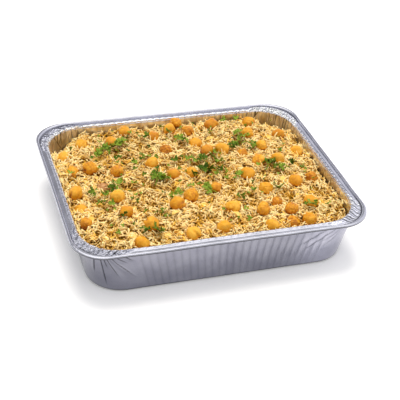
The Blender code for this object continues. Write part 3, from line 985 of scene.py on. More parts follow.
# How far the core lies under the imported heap, to leave room for the grains on it.
CORE_SINK = 0.0052
TUFT_SIZE, TUFT_HEIGHT = 0.0115, 0.0060
TUFT_WANDER, WANDER_SIZE = 0.004, 0.011
ROUGH_HEIGHT, ROUGH_SIZE = 0.0009, 0.0055
PEA_MOUND = 0.0018


def noise_at(x, y, size, seed):
    """Smooth noise of about -1 to 1 over the tray, with hills about size wide."""
    places = np.column_stack((x.ravel() / size, y.ravel() / size))
    values = [noise.noise(Vector((a, b, seed))) for a, b in places]
    return np.array(values).reshape(x.shape) * 1.6


def mounds(x, y):
    """How far the rice climbs round the chickpeas."""
    rise = np.zeros_like(x)
    for number in range(1, CHICKPEAS + 1):
        low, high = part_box(f"chickpea_{number:02d}")
        away = np.hypot(x - (low[0] + high[0]) / 2, y - (low[1] + high[1]) / 2) / (high[0] - low[0])
        # Full up to the chickpea's edge, and gone about one and a half widths from its middle.
        rise = np.maximum(rise, smooth_step(1.6 - 1.1 * away))
    return PEA_MOUND * rise


def core_height(x, y):
    """The height of the core's top, with its tufts and mounds."""
    wander = TUFT_WANDER * noise_at(x, y, WANDER_SIZE, 2.5)
    places = zip((x + wander).ravel() / TUFT_SIZE, (y - wander).ravel() / TUFT_SIZE)
    to_tuft = [noise.voronoi(Vector((a, b, 0.5)))[0][0] for a, b in places]
    tufts = TUFT_HEIGHT * (0.45 - np.array(to_tuft).reshape(x.shape))
    rough = ROUGH_HEIGHT * noise_at(x, y, ROUGH_SIZE, 9.5)
    return heap_height(x, y) - CORE_SINK + tufts + mounds(x, y) + rough


print("tufts", round(TUFT_SIZE * 1000, 1), "mm wide")

# %% [markdown]
# Thousands of grains ask for the core's height, and the noise is slow. So it is worked out once
# on a grid with 1 mm squares, and every place is looked up between four of the grid's points.

# %% Height grid
GRID_STEP = 0.001
GRID_HALF_X, GRID_HALF_Y = 0.152, 0.124
grid_x, grid_y = (np.arange(-half, half + 0.0001, GRID_STEP) for half in (GRID_HALF_X, GRID_HALF_Y))
core_grid = core_height(*np.meshgrid(grid_x, grid_y, indexing="ij"))


def core_at(x, y):
    """The core's height at places, between the grid's points."""
    u = np.clip((x - grid_x[0]) / GRID_STEP, 0, len(grid_x) - 1.001)
    v = np.clip((y - grid_y[0]) / GRID_STEP, 0, len(grid_y) - 1.001)
    i, j = u.astype(int), v.astype(int)
    u, v = u - i, v - j
    low = core_grid[i, j] * (1 - v) + core_grid[i, j + 1] * v
    high = core_grid[i + 1, j] * (1 - v) + core_grid[i + 1, j + 1] * v
    return low * (1 - u) + high * u


print("the core's highest tuft is", round(core_grid.max() * 1000, 1), "mm over the floor")

# %% [markdown]
# The walls lean in towards the floor and the corners are round, so the food needs to know how
# much room there is at each height. The same outline also tells how a square is drawn in to fit.

# %% Room inside the walls
def wall_limits(height):
    """Half lengths and corner radius of the tray's inside at heights."""
    share = np.clip(height / WALL_TOP, 0, 1)
    half_x = WALL_HALF_X - WALL_DRAFT_X * (1 - share)
    half_y = WALL_HALF_Y - WALL_DRAFT_Y * (1 - share)
    return half_x, half_y, BASE_CORNER + (WALL_CORNER - BASE_CORNER) * share


def room_to_wall(x, y, height):
    """How far places are from the wall, positive inside the tray."""
    half_x, half_y, radius = wall_limits(height)
    over_x = np.abs(x) - (half_x - radius)
    over_y = np.abs(y) - (half_y - radius)
    outside = np.hypot(np.maximum(over_x, 0), np.maximum(over_y, 0))
    return radius - outside - np.minimum(np.maximum(over_x, over_y), 0)


def drawn_into_corners(u, v, half_x, half_y, radius):
    """Moves square places u, v from -1 to 1 onto a rounded rectangle, most near its corners."""
    x, y = u * half_x, v * half_y
    edge = np.maximum(np.maximum(np.abs(u), np.abs(v)), 1e-9)
    edge_x, edge_y = x / edge, y / edge
    # How far along its line from the middle each place meets the outline, found by halving.
    low, high = np.zeros_like(x), np.ones_like(x)
    for _ in range(24):
        middle = (low + high) / 2
        over_x = np.maximum(np.abs(edge_x * middle) - (half_x - radius), 0)
        over_y = np.maximum(np.abs(edge_y * middle) - (half_y - radius), 0)
        inside = np.hypot(over_x, over_y) <= radius
        low, high = np.where(inside, middle, low), np.where(inside, high, middle)
    pull = 1 - (1 - low) * edge ** 4
    return x * pull, y * pull


half_x, half_y, radius = wall_limits(RICE_MIDDLE)
print("the rice has", round(half_x * 2000), "by", round(half_y * 2000), "mm between the walls at its top")

# %% [markdown]
# The core starts as a flat grid. Its border is pushed down and closed with one face, which makes
# a block. Then its square corners are drawn in to the tray's round ones, its top is lifted to the
# heap's height, and its sides follow the walls down to the tray's floor.

# %% Rice core
CORE_CELLS = (200, 160)
# The core stays this far from the foil, and this high at the least where the heap runs out.
CORE_GAP, CORE_LOWEST = 0.0018, 0.020
# The height at which the core's foot fits the walls, and the height of its underside.
CORE_FOOT, CORE_BOTTOM = 0.004, 0.0012

deselect_all()
bpy.ops.mesh.primitive_grid_add(x_subdivisions=CORE_CELLS[0], y_subdivisions=CORE_CELLS[1], size=2.0)
rice_core = bpy.context.object
rice_core.name = "rice_core"
bpy.ops.object.mode_set(mode="EDIT")
bpy.ops.mesh.select_all(action="SELECT")
bpy.ops.mesh.region_to_loop()
bpy.ops.mesh.extrude_edges_move(TRANSFORM_OT_translate={"value": (0.0, 0.0, -0.5)})
bpy.ops.mesh.extrude_edges_move(TRANSFORM_OT_translate={"value": (0.0, 0.0, -0.5)})
bpy.ops.mesh.edge_face_add()
bpy.ops.mesh.select_all(action="SELECT")
bpy.ops.mesh.normals_make_consistent(inside=False)
bpy.ops.object.mode_set(mode="OBJECT")

points = np.array([vertex.co for vertex in rice_core.data.vertices])
sunk = -points[:, 2]


def spread_inside(height):
    """The core's places, spread to the walls as they are at heights."""
    limits = (limit - CORE_GAP for limit in wall_limits(height))
    return drawn_into_corners(points[:, 0], points[:, 1], *limits)


# The walls lean in, so where the heap is lower the core is drawn in with them.
top = np.full(len(points), RICE_MIDDLE)
for _ in range(3):
    x, y = spread_inside(top)
    top = np.maximum(core_at(x, y), CORE_LOWEST)
bottom = spread_inside(np.full(len(points), CORE_FOOT))
points[:, 0] = x * (1 - sunk) + bottom[0] * sunk
points[:, 1] = y * (1 - sunk) + bottom[1] * sunk
points[:, 2] = top * (1 - sunk) + CORE_BOTTOM * sunk
rice_core.data.vertices.foreach_set("co", points.ravel())
rice_core.data.update()
deselect_all()
rice_core.select_set(True)
bpy.context.view_layer.objects.active = rice_core
bpy.ops.object.shade_smooth()
print(rice_core.name, len(rice_core.data.polygons), "faces")

# %% [markdown]
# ## The chickpeas
#
# A cooked chickpea is a slightly flattened ball with a blunt beak at one end and a crease that
# splits its back into two soft lobes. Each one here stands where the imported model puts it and
# faces the same way, but gets its own dents and wrinkles. The ball starts as a cube, cut into
# even squares and blown up round, because a cube's squares stay even and have no poles.

# %% Chickpea ball
PEA_CUTS = 10

deselect_all()
bpy.ops.mesh.primitive_cube_add(size=2.0)
ball = bpy.context.object
bpy.ops.object.mode_set(mode="EDIT")
bpy.ops.mesh.select_all(action="SELECT")
bpy.ops.mesh.subdivide(number_cuts=PEA_CUTS)
bpy.ops.transform.tosphere(value=1.0)
bpy.ops.object.mode_set(mode="OBJECT")


def parts_of(shape):
    """A shape's points and faces as arrays, the shape itself being removed."""
    mesh = shape.data
    points = np.array([vertex.co for vertex in mesh.vertices])
    faces = [tuple(face.vertices) for face in mesh.polygons]
    bpy.data.objects.remove(shape)
    return points, faces


ball_points, ball_faces = parts_of(ball)
ball_points /= np.linalg.norm(ball_points, axis=1)[:, None]
print("the ball has", len(ball_faces), "faces")

# %% [markdown]
# Now the ball is given each chickpea's shape. The crease is a furrow along the back, the beak a
# bulge in front, and noise that starts at its own place gives each one its own dents. The same
# numbers give painted shade where the skin folds in, which the finish darkens.

# %% Chickpea shapes
PEA_SQUASH = np.array((1.0, 0.96, 0.93))
# In radii: the beak's length, the crease's width, how far the lobes swell, and how deep the soft
# dents and the wrinkles are.
BEAK, CREASE_WIDTH, LOBES, SOFT_DENTS, WRINKLES = 0.14, 0.17, 0.07, 0.12, 0.10
# A crease is at least this deep, and at most this much deeper.
CREASE_DEPTH, CREASE_SPREAD = 0.08, 0.12
# How fine the noise of the dents and of the wrinkles is, and how near to 0 it is in a wrinkle.
DENT_SCALE, WRINKLE_SCALE, WRINKLE_WIDTH = 1.6, 2.6, 0.35


def pea_turn(number):
    """The way each packed chickpea faces."""
    beak_up = Matrix.Rotation(-0.4 - 0.4 * math.sin(3.1 * number), 3, "Y")
    return np.array(Matrix.Rotation(2.4 * number, 3, "Z") @ beak_up @ Matrix.Rotation(1.3 * number, 3, "X"))


def pea_points(number):
    """A chickpea's points around its middle, for a radius of 1, and the painted shade of each one.

    Sines of its number give each chickpea its own depth of crease and wrinkles.
    """
    x, y, z = ball_points.T
    own = Vector((number * 3.7, 0, 0))
    soft = np.array([noise.noise(Vector(point) * DENT_SCALE + own) for point in ball_points])
    fine = np.array([noise.noise(Vector(point) * WRINKLE_SCALE + own * 1.7) for point in ball_points])
    wrinkled = 0.5 + 0.5 * math.sin(7.7 * number)
    beak = BEAK * np.maximum(0, x) ** 4
    deep = CREASE_DEPTH + CREASE_SPREAD * (0.5 + 0.5 * math.sin(2.9 * number))
    crease = deep * np.exp(-((y / CREASE_WIDTH) ** 2)) * fades(x, 0.35, 0.9)
    lobes = LOBES * np.abs(y) * np.maximum(0, -x)
    folds = WRINKLES * wrinkled * np.maximum(0, WRINKLE_WIDTH - np.abs(fine)) / WRINKLE_WIDTH
    radius = 1.05 - crease + lobes + SOFT_DENTS * soft - folds
    shaped = ball_points * radius[:, None]
    shaped[:, 0] += beak * np.maximum(0, x)
    return shaped * PEA_SQUASH, np.clip(crease / 0.2 + folds / 0.1, 0, 1)


print("a plain chickpea is", round(float(np.ptp(pea_points(0)[0][:, 0])), 2), "radii long")

# %% [markdown]
# All the chickpeas are one piece, and so are all the grains of a kind, because thousands of
# objects would be slow. `joined` puts copies of a shape in one mesh and writes values on it, one
# for each copy or each point, that the material reads as attributes. The low part of a chickpea
# gets painted shade, and one chickpea, with any close to it, has browned.

# %% Place the chickpeas
# How much painted shade darkens a chickpea's foot, where a deep fold's shade is 1, and from how high.
FOOT_PAINTED_SHADE, FOOT_SHADE_TOP = 1.1, 0.35
BROWNED_AT, BROWNED_REACH = np.array((-0.105, -0.003)), 0.008
# The mean half size of a packed chickpea, as a share of its radius.
PEA_SPREAD = 0.985


def joined(name, points, faces, **values):
    """One piece from many copies of a shape. Each value is for a whole copy or for each point."""
    copies, count = points.shape[:2]
    all_faces = [tuple(v + copy * count for v in face) for copy in range(copies) for face in faces]
    mesh = bpy.data.meshes.new(name)
    mesh.from_pydata(points.reshape(-1, 3), [], all_faces)
    for key, value in values.items():
        spread = np.repeat(value, count) if len(value) == copies else value
        mesh.attributes.new(key, "FLOAT", "POINT").data.foreach_set("value", spread)
    mesh.shade_smooth()
    piece = bpy.data.objects.new(name, mesh)
    bpy.context.scene.collection.objects.link(piece)
    return piece


pea_centres, pea_radii, pea_shapes, pea_hollows = [], [], [], []
for number in range(1, CHICKPEAS + 1):
    low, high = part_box(f"chickpea_{number:02d}")
    centre = np.array((low + high) / 2)
    radius = sum(high - low) / 6 / PEA_SPREAD
    pea_centres.append(centre)
    pea_radii.append(radius)
    shaped, hollow = pea_points(number)
    turned = shaped @ pea_turn(number).T
    pea_shapes.append(turned * radius + centre)
    pea_hollows.append(hollow + FOOT_PAINTED_SHADE * smooth_step(FOOT_SHADE_TOP - turned[:, 2]))
pea_centres, pea_radii = np.array(pea_centres), np.array(pea_radii)
pea_tone = np.random.default_rng(52).uniform(0, 1, CHICKPEAS)
browned = np.exp(-((np.linalg.norm(pea_centres[:, :2] - BROWNED_AT, axis=1) / BROWNED_REACH) ** 2))
chickpeas = joined(
    "chickpeas", np.array(pea_shapes), ball_faces,
    tone=pea_tone, browned=browned, hollow=np.concatenate(pea_hollows),
)
print(chickpeas.name, len(chickpeas.data.polygons), "faces,", round(pea_radii.mean() * 2000, 1), "mm across")

# %% [markdown]
# ## The grains
#
# Cooked long-grain rice is about 9 mm long and 2 mm thick, with blunt ends and a slight
# bow. One grain is modelled for each kind: a ball with few faces is stretched, its ends are
# filled out and it is bowed. A grain has only 36 triangles, because thousands are copied.

# %% Grain shapes
GRAIN_SIDES, GRAIN_RINGS = 6, 4
# A grain is a little flat. Its shoulders, between these shares of its half length, are filled out.
GRAIN_FLAT, SHOULDER, FILLED_OUT = 0.88, (0.4, 0.95), 1.22


def grain_kind(length, width, bow, taper):
    """A grain along X: its points and faces."""
    deselect_all()
    bpy.ops.mesh.primitive_uv_sphere_add(segments=GRAIN_SIDES, ring_count=GRAIN_RINGS, radius=1.0)
    grain = bpy.context.object
    bpy.ops.object.mode_set(mode="EDIT")
    bpy.ops.mesh.select_all(action="SELECT")
    bpy.ops.transform.rotate(value=math.pi / 2, orient_axis="Y", center_override=(0, 0, 0))
    half = (length / 2, width / 2, width / 2 * GRAIN_FLAT)
    bpy.ops.transform.resize(value=half, center_override=(0, 0, 0))
    bpy.ops.object.mode_set(mode="OBJECT")
    points, faces = parts_of(grain)
    along = points[:, 0] / (length / 2)
    shoulder = (np.abs(along) > SHOULDER[0]) & (np.abs(along) < SHOULDER[1])
    points[shoulder, 1:] *= np.where(along[shoulder] > 0, FILLED_OUT, FILLED_OUT * taper)[:, None]
    points[:, 1] += bow * (along ** 2 - 0.4)
    return points, faces


# (length, width, bow, how much thinner one end is) for each kind
GRAIN_KINDS = {
    "long_rice_grains": grain_kind(0.0098, 0.00165, 0.0007, 0.85),
    "bowed_rice_grains": grain_kind(0.0092, 0.00160, 0.0015, 0.88),
    "short_rice_grains": grain_kind(0.0070, 0.00175, 0.0004, 0.85),
    "under_rice_grains": grain_kind(0.0086, 0.00205, 0.0005, 0.90),
    "deep_rice_grains": grain_kind(0.0086, 0.00205, 0.0008, 0.95),
}
print("grain kinds:", ", ".join(GRAIN_KINDS))

# %% [markdown]
# Grains are laid in layers, from the core up. The lower layers lie nearly flat and close the
# surface. The upper ones lie only on the clumps, tilted, and some stand on end, which gives the
# heap its bristly look. Neighbours lie nearly side by side, in bundles that turn from place to
# place.

# %% Where grains lie
# (spacing, height over the core, tilt in degrees, share that stands up, clumps only) for each layer
GRAIN_LAYERS = (
    (0.0044, 0.0005, 8, 0.00, False),
    (0.0042, 0.0015, 10, 0.00, False),
    (0.0040, 0.0024, 18, 0.02, False),
    (0.0038, 0.0032, 26, 0.08, False),
    (0.0041, 0.0040, 30, 0.16, True),
    (0.0050, 0.0049, 34, 0.25, True),
)
DEEP_LAYERS = 2
# What lies on the rice rests this high over the core, and a little more.
TOP_LIFT = GRAIN_LAYERS[-2][1]
# How far a place is shaken out of its row, as a share of the spacing.
SHAKE = 0.62
# A clump begins this far under the core's mean height, and is whole this much higher.
CLUMP_UNDER, CLUMP_SPAN = 0.0012, 0.0014
# The distance over which the core's slope is measured, and how far a grain follows it.
SLOPE_STEP, SLOPE_SHARE = 0.0025, 0.8
rng = np.random.default_rng(7)


def jittered(spacing):
    """Uneven places that cover the tray's inside."""
    x = np.arange(-WALL_HALF_X, WALL_HALF_X, spacing)
    y = np.arange(-WALL_HALF_Y, WALL_HALF_Y, spacing)
    x, y = (grid.ravel() for grid in np.meshgrid(x, y))
    shake = rng.uniform(-SHAKE, SHAKE, (2, len(x))) * spacing
    return x + shake[0], y + shake[1]


def clumped(x, y):
    """1 on top of the clumps and 0 in the dips between them."""
    rise = core_at(x, y) - heap_height(x, y) + CORE_SINK
    return smooth_step((rise + CLUMP_UNDER) / CLUMP_SPAN)


def grain_directions(x, y, yaw, tilt):
    """Unit directions that follow the core's slope and then tilt up."""
    step_x, step_y = np.cos(yaw) * SLOPE_STEP, np.sin(yaw) * SLOPE_STEP
    slope = (core_at(x + step_x, y + step_y) - core_at(x - step_x, y - step_y)) / (2 * SLOPE_STEP)
    pitch = np.arctan(slope * SLOPE_SHARE) + tilt
    return np.column_stack((np.cos(yaw) * np.cos(pitch), np.sin(yaw) * np.cos(pitch), np.sin(pitch)))


print(len(GRAIN_LAYERS), "layers, the top one", round(GRAIN_LAYERS[-1][1] * 1000, 1), "mm over the core")

# %% [markdown]
# A grain must not go through the foil or a chickpea. One whose tip would cross the wall is turned
# along it, and is left out if it still doesn't fit. One whose middle would be inside a chickpea
# is left out too.

# %% Lay the grains
# No grain's middle is nearer to the wall than the first of these. A grain whose tip is nearer
# than the second is turned, and one whose tip is still nearer than the third is left out.
MIDDLE_ROOM, WALL_ROOM, TIP_ROOM = 0.0016, 0.0009, 0.00054
# How far outside a chickpea a grain's middle has to be.
PEA_ROOM = 0.0002
BUNDLE_SIZE, BUNDLE_TURN, BUNDLE_LOOSE = 0.014, 6.0, 0.6
# Standing grains lean up between these angles, in degrees, and are lifted a little.
STANDING_TILT, STANDING_LIFT = (30, 62), 0.0012
GRAIN_LENGTHS, UNEVEN_LIFT = (0.82, 1.12), 0.0005
# How far a grain's tips reach from its middle, for a length of 1.
GRAIN_REACH = 0.0042
# How loosely grains lie along a wall, in radians, and what is left there of their tilt.
ALONG_LOOSE, ALONG_TILT = 0.12, 0.3
# A grain counts as deep, at 0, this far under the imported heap's top, and as 1 this much higher.
DEEP_UNDER, DEEP_SPAN = 0.0030, 0.0040


def turned_along_walls(x, y, yaw, tilt, crossing):
    """Turns the crossing grains along the nearest wall, or round the corner, and lays them flatter."""
    nearer_x = np.abs(x) / WALL_HALF_X > np.abs(y) / WALL_HALF_Y
    along_wall = np.where(nearer_x, math.pi / 2, 0) + rng.normal(0, ALONG_LOOSE, len(x))
    past_x = np.maximum(0, np.abs(x) - (WALL_HALF_X - WALL_CORNER))
    past_y = np.maximum(0, np.abs(y) - (WALL_HALF_Y - WALL_CORNER))
    in_corner = (past_x > 0) & (past_y > 0)
    around = np.arctan2(past_y * np.sign(y), past_x * np.sign(x)) + math.pi / 2
    yaw = np.where(crossing, np.where(in_corner, around, along_wall), yaw)
    return yaw, np.where(crossing, tilt * ALONG_TILT, tilt)


def room_at_tips(centres, ways, reach):
    """How far from the wall the nearer tip of each grain is."""
    tips = [centres + side * reach[:, None] * ways for side in (1, -1)]
    return np.minimum(*(room_to_wall(*tip.T) for tip in tips))


def lay_layer(spacing, lift, tilt_degrees, standing, clumps_only):
    """The centres, directions, lengths and depths of one layer's grains."""
    x, y = jittered(spacing)
    keep = room_to_wall(x, y, RICE_MIDDLE) > MIDDLE_ROOM
    x, y = x[keep], y[keep]
    if clumps_only:
        keep = rng.uniform(0, 1, len(x)) < clumped(x, y)
        x, y = x[keep], y[keep]

    yaw = BUNDLE_TURN * noise_at(x, y, BUNDLE_SIZE, 4.5) + rng.normal(0, BUNDLE_LOOSE, len(x))
    tilt = np.radians(rng.normal(0, tilt_degrees / 2, len(x)))
    up = rng.uniform(0, 1, len(x)) < standing
    tilt = np.where(up, np.radians(rng.uniform(*STANDING_TILT, len(x))), tilt)
    lengths = rng.uniform(*GRAIN_LENGTHS, len(x))
    reach = GRAIN_REACH * lengths
    uneven = rng.uniform(-UNEVEN_LIFT, UNEVEN_LIFT, len(x))
    z = core_at(x, y) + lift + uneven + np.where(up, STANDING_LIFT, 0)
    centres = np.column_stack((x, y, z))

    crossing = room_at_tips(centres, grain_directions(x, y, yaw, tilt), reach) < WALL_ROOM
    yaw, tilt = turned_along_walls(x, y, yaw, tilt, crossing)
    ways = grain_directions(x, y, yaw, tilt)
    keep = room_at_tips(centres, ways, reach) > TIP_ROOM
    for centre, radius in zip(pea_centres, pea_radii):
        keep &= np.linalg.norm(centres - centre, axis=1) > radius + PEA_ROOM
    depth = (z - heap_height(x, y) + DEEP_UNDER) / DEEP_SPAN
    return centres[keep], ways[keep], lengths[keep], depth[keep]


layers = [lay_layer(*layer) for layer in GRAIN_LAYERS]
deep_count = sum(len(layer[0]) for layer in layers[:DEEP_LAYERS])
centres, ways, lengths, depths = (np.concatenate(values) for values in zip(*layers))
print(len(centres), "grains,", deep_count, "of them deep")

# %% [markdown]
# Each grain is then one of the kinds, turned its own way and rolled about its length. The deep
# layers use the two thicker kinds, which close the surface with fewer grains. Every grain carries
# its own tone and how deep it lies, and its underside counts as deeper than its top, which is
# painted shade.

# %% Copy the grains
# A grain's underside gets painted shade: it counts as deeper in colour by this much over this
# distance.
UNDERSIDE_PAINTED_SHADE, UNDERSIDE = 0.55, 0.001
GRAIN_WIDTHS = (0.88, 1.12)
# The shares of the long, the bowed and the short grains in the upper layers.
KIND_SHARES = (0.40, 0.34, 0.26)
UPPER_KINDS, DEEP_KINDS = 3, (3, 4)


def turned_copies(points, centres, ways, scales, roll):
    """Copies of a shape that lies along X, each at a centre, pointing a way and rolled about it."""
    side = np.cross((0.0, 0.0, 1.0), ways)
    side /= np.maximum(np.linalg.norm(side, axis=1), 1e-9)[:, None]
    over = np.cross(ways, side)
    across = side * np.cos(roll)[:, None] + over * np.sin(roll)[:, None]
    normal = np.cross(ways, across)
    shaped = points[None] * scales[:, None]
    return (shaped[..., :1] * ways[:, None] + shaped[..., 1:2] * across[:, None]
            + shaped[..., 2:] * normal[:, None] + centres[:, None])


kind = rng.choice(UPPER_KINDS, len(centres), p=KIND_SHARES)
kind[:deep_count] = rng.choice(DEEP_KINDS, deep_count)
grain_pieces = []
for index, (name, (points, faces)) in enumerate(GRAIN_KINDS.items()):
    mine = kind == index
    count = int(mine.sum())
    widths = rng.uniform(*GRAIN_WIDTHS, count)
    scales = np.column_stack((lengths[mine], widths, widths))
    copies = turned_copies(points, centres[mine], ways[mine], scales, rng.uniform(0, 2 * math.pi, count))
    tone = rng.uniform(0, 1, count)
    over = (copies[..., 2] - centres[mine, None, 2]) / UNDERSIDE
    depth = (depths[mine, None] + UNDERSIDE_PAINTED_SHADE * over).ravel()
    grain_pieces.append(joined(name, copies, faces, tone=tone, depth=depth))
    print(name, count, "grains")

# %% [markdown]
# No two bits of cooked food are quite the same colour, and none is one colour all over. So the
# rice, the chickpeas, the herbs and the small things share one effect, a node group that gives a
# value for a colour ramp: clouds over the surface, plus a share of each copy's own tone.

# %% Uneven tones
def tone_group():
    """Clouds over the surface, alone and with a share of each copy's own tone added."""
    tree, given, result = new_group(
        "uneven tone",
        {"Scale": "NodeSocketFloat", "Detail": "NodeSocketFloat", "Own Share": "NodeSocketFloat"},
        {"Value": "NodeSocketFloat", "Clouds": "NodeSocketFloat"},
    )
    link = tree.links.new
    place = add_node(tree, "ShaderNodeTexCoord")
    clouds = add_node(tree, "ShaderNodeTexNoise")
    link(place.outputs["Object"], clouds.inputs["Vector"])
    link(given.outputs["Scale"], clouds.inputs["Scale"])
    link(given.outputs["Detail"], clouds.inputs["Detail"])
    own = add_node(tree, "ShaderNodeAttribute", attribute_name="tone")
    both = add_node(tree, "ShaderNodeMath", operation="MULTIPLY_ADD")
    link(own.outputs["Fac"], both.inputs[0])
    link(given.outputs["Own Share"], both.inputs[1])
    link(clouds.outputs["Fac"], both.inputs[2])
    link(both.outputs["Value"], result.inputs["Value"])
    link(clouds.outputs["Fac"], result.inputs["Clouds"])
    return tree


uneven_tone = tone_group()


def add_tone(tree, scale, detail, own_share):
    """Places the tone effect in a tree with its own values."""
    tone = tree.nodes.new("ShaderNodeGroup")
    tone.node_tree = uneven_tone
    for socket, value in zip(tone.inputs, (scale, detail, own_share)):
        socket.default_value = value
    return tone


print(uneven_tone.name, "has", len(uneven_tone.nodes), "nodes")

# %% [markdown]
# Rice cooked with turmeric and stock is cream where a grain lies on top and deep gold where it
# sits in the juices, and underneath. So the ramp from gold to cream gives a grain's tone, and its
# depth value mixes in the deep colour, which is partly the juices and partly painted shade for the
# lower layers and the grains' undersides. The grains let some light through, so a little subsurface
# scattering softens them. The two deep kinds are more golden all over, partly for the juices and
# partly as painted shade.

# %% Rice finish
RICE_CLOUDS, RICE_OWN_TONE = 85.0, 0.42
LIGHT_SOFTENED, SOFTENED_OVER = 0.25, 0.0012
# The depth values between which a grain goes from deep to pale.
ALL_DEEP, ALL_PALE = -0.10, 1.20


def rice_finish(name, deep, gold, cream):
    """Cooked rice from a deep colour over gold to cream."""
    rice, tree, shader = shader_material(name)
    shader.inputs["Roughness"].default_value = 0.45
    shader.inputs["Specular IOR Level"].default_value = 0.06
    shader.inputs["Subsurface Weight"].default_value = LIGHT_SOFTENED
    shader.inputs["Subsurface Radius"].default_value = (1.0, 0.85, 0.6)
    shader.inputs["Subsurface Scale"].default_value = SOFTENED_OVER
    tone = add_tone(tree, RICE_CLOUDS, 2.0, RICE_OWN_TONE)
    top = tuple(min(1.0, 1.08 * value) for value in cream)
    shade = add_ramp(tree, ((0.40, gold), (0.74, cream), (0.95, top)))
    tree.links.new(tone.outputs["Value"], shade.inputs["Fac"])
    depth = add_node(tree, "ShaderNodeAttribute", attribute_name="depth")
    lighten = add_node(tree, "ShaderNodeMapRange", From_Min=ALL_DEEP, From_Max=ALL_PALE)
    tree.links.new(depth.outputs["Fac"], lighten.inputs["Value"])
    mix = add_node(tree, "ShaderNodeMix", data_type="RGBA")
    mix.inputs["A"].default_value = (*deep, 1.0)
    tree.links.new(lighten.outputs["Result"], mix.inputs["Factor"])
    tree.links.new(shade.outputs["Color"], mix.inputs["B"])
    tree.links.new(mix.outputs["Result"], shader.inputs["Base Color"])
    return rice


pale_rice = rice_finish("cooked rice", (0.56, 0.29, 0.025), (0.95, 0.57, 0.09), (1.0, 0.76, 0.37))
golden_rice = rice_finish(
    "cooked rice in the juices", (0.34, 0.165, 0.010), (0.80, 0.46, 0.05), (0.93, 0.62, 0.16)
)
for piece in grain_pieces:
    piece.data.materials.append(golden_rice if piece.name.startswith(("under", "deep")) else pale_rice)
    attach(piece, "root")
print("rice finishes:", pale_rice.name, "and", golden_rice.name)

# %% [markdown]
# Between the grains the core shows in the gaps, so it is dark brown, with small uneven clouds: its
# brown is painted shade for the gaps. It stands for the imported heap, whose solid stays hidden.

# %% Core finish
# The core's dark brown is painted shade for the gaps between the grains.
core_painted_shade, tree, shader = shader_material("rice in the juices")
shader.inputs["Roughness"].default_value = 0.5
tone = add_tone(tree, 300.0, 3.0, 0.0)
shade = add_ramp(tree, ((0.35, (0.16, 0.070, 0.005)), (0.65, (0.42, 0.23, 0.02))))
tree.links.new(tone.outputs["Value"], shade.inputs["Fac"])
tree.links.new(shade.outputs["Color"], shader.inputs["Base Color"])
rice_core.data.materials.append(core_painted_shade)
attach(rice_core, "root")
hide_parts("rice_heap")
print("the core replaces the packed heap")

# %% [markdown]
# A chickpea's skin is dull gold, with painted shade where it folds in and on its low part, which a
# value on each point says. Fine wrinkles are too small to model, so they are a bump.
# One chickpea has browned in the oven, and its `browned` value mixes in a roasted colour.

# %% Chickpea finish
# How far full painted shade moves the skin towards the dark end of its ramp.
PEA_SHADE_PULL = -0.45
FINE_WRINKLES, WRINKLE_DEPTH = 420.0, 0.0006

pea_skin, tree, shader = shader_material("chickpea skin")
shader.inputs["Roughness"].default_value = 0.34
shader.inputs["Specular IOR Level"].default_value = 0.35
tone = add_tone(tree, 160.0, 4.0, 0.5)
hollow = add_node(tree, "ShaderNodeAttribute", attribute_name="hollow")
sunk = add_node(tree, "ShaderNodeMath", operation="MULTIPLY_ADD")
sunk.inputs[1].default_value = PEA_SHADE_PULL
tree.links.new(hollow.outputs["Fac"], sunk.inputs[0])
tree.links.new(tone.outputs["Value"], sunk.inputs[2])
shade = add_ramp(tree, (
    (0.1, (0.30, 0.085, 0.003)), (0.4, (0.58, 0.21, 0.006)),
    (0.7, (0.74, 0.33, 0.013)), (1.0, (0.86, 0.45, 0.045)),
))
tree.links.new(sunk.outputs["Value"], shade.inputs["Fac"])
roast = add_ramp(tree, ((0.4, (0.40, 0.17, 0.05)), (0.7, (0.72, 0.42, 0.19))))
tree.links.new(tone.outputs["Clouds"], roast.inputs["Fac"])
browned_part = add_node(tree, "ShaderNodeAttribute", attribute_name="browned")
skin = add_node(tree, "ShaderNodeMix", data_type="RGBA")
tree.links.new(browned_part.outputs["Fac"], skin.inputs["Factor"])
tree.links.new(shade.outputs["Color"], skin.inputs["A"])
tree.links.new(roast.outputs["Color"], skin.inputs["B"])
tree.links.new(skin.outputs["Result"], shader.inputs["Base Color"])
place = add_node(tree, "ShaderNodeTexCoord")
wrinkles = add_node(tree, "ShaderNodeTexNoise", Scale=FINE_WRINKLES, Detail=3.0, Distortion=1.2)
tree.links.new(place.outputs["Object"], wrinkles.inputs["Vector"])
relief = add_node(tree, "ShaderNodeBump", Strength=0.5, Distance=WRINKLE_DEPTH)
tree.links.new(wrinkles.outputs["Fac"], relief.inputs["Height"])
tree.links.new(relief.outputs["Normal"], shader.inputs["Normal"])
chickpeas.data.materials.append(pea_skin)
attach(chickpeas, "root")
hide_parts(*(f"chickpea_{number:02d}" for number in range(1, CHICKPEAS + 1)))
print("the chickpeas replace", CHICKPEAS, "packed ones")

# %% [markdown]
# ## Herbs
#
# The green is flat-leaf parsley: leaflets in three toothed lobes, alone or three on a stem, and
# some chopped small. A leaflet is drawn as half an outline from its stalk to its tip, mirrored,
# and filled. The blade is cut finer, arched and cupped, and given its thickness, so that the
# light catches it unevenly, as on a real leaf.

# %% Leaf shapes
# One side of the outline, from the stalk at 0 to the tip at 1.
LEAF_EDGE = (
    (0.00, 0.03), (0.14, 0.14), (0.10, 0.36), (0.24, 0.40), (0.28, 0.58), (0.42, 0.50), (0.54, 0.54),
    (0.52, 0.34), (0.46, 0.17), (0.60, 0.18), (0.64, 0.32), (0.78, 0.24), (0.90, 0.20), (1.00, 0.00),
)
LEAF_THICKNESS = 0.00025
LEAF_WAVE = 0.05


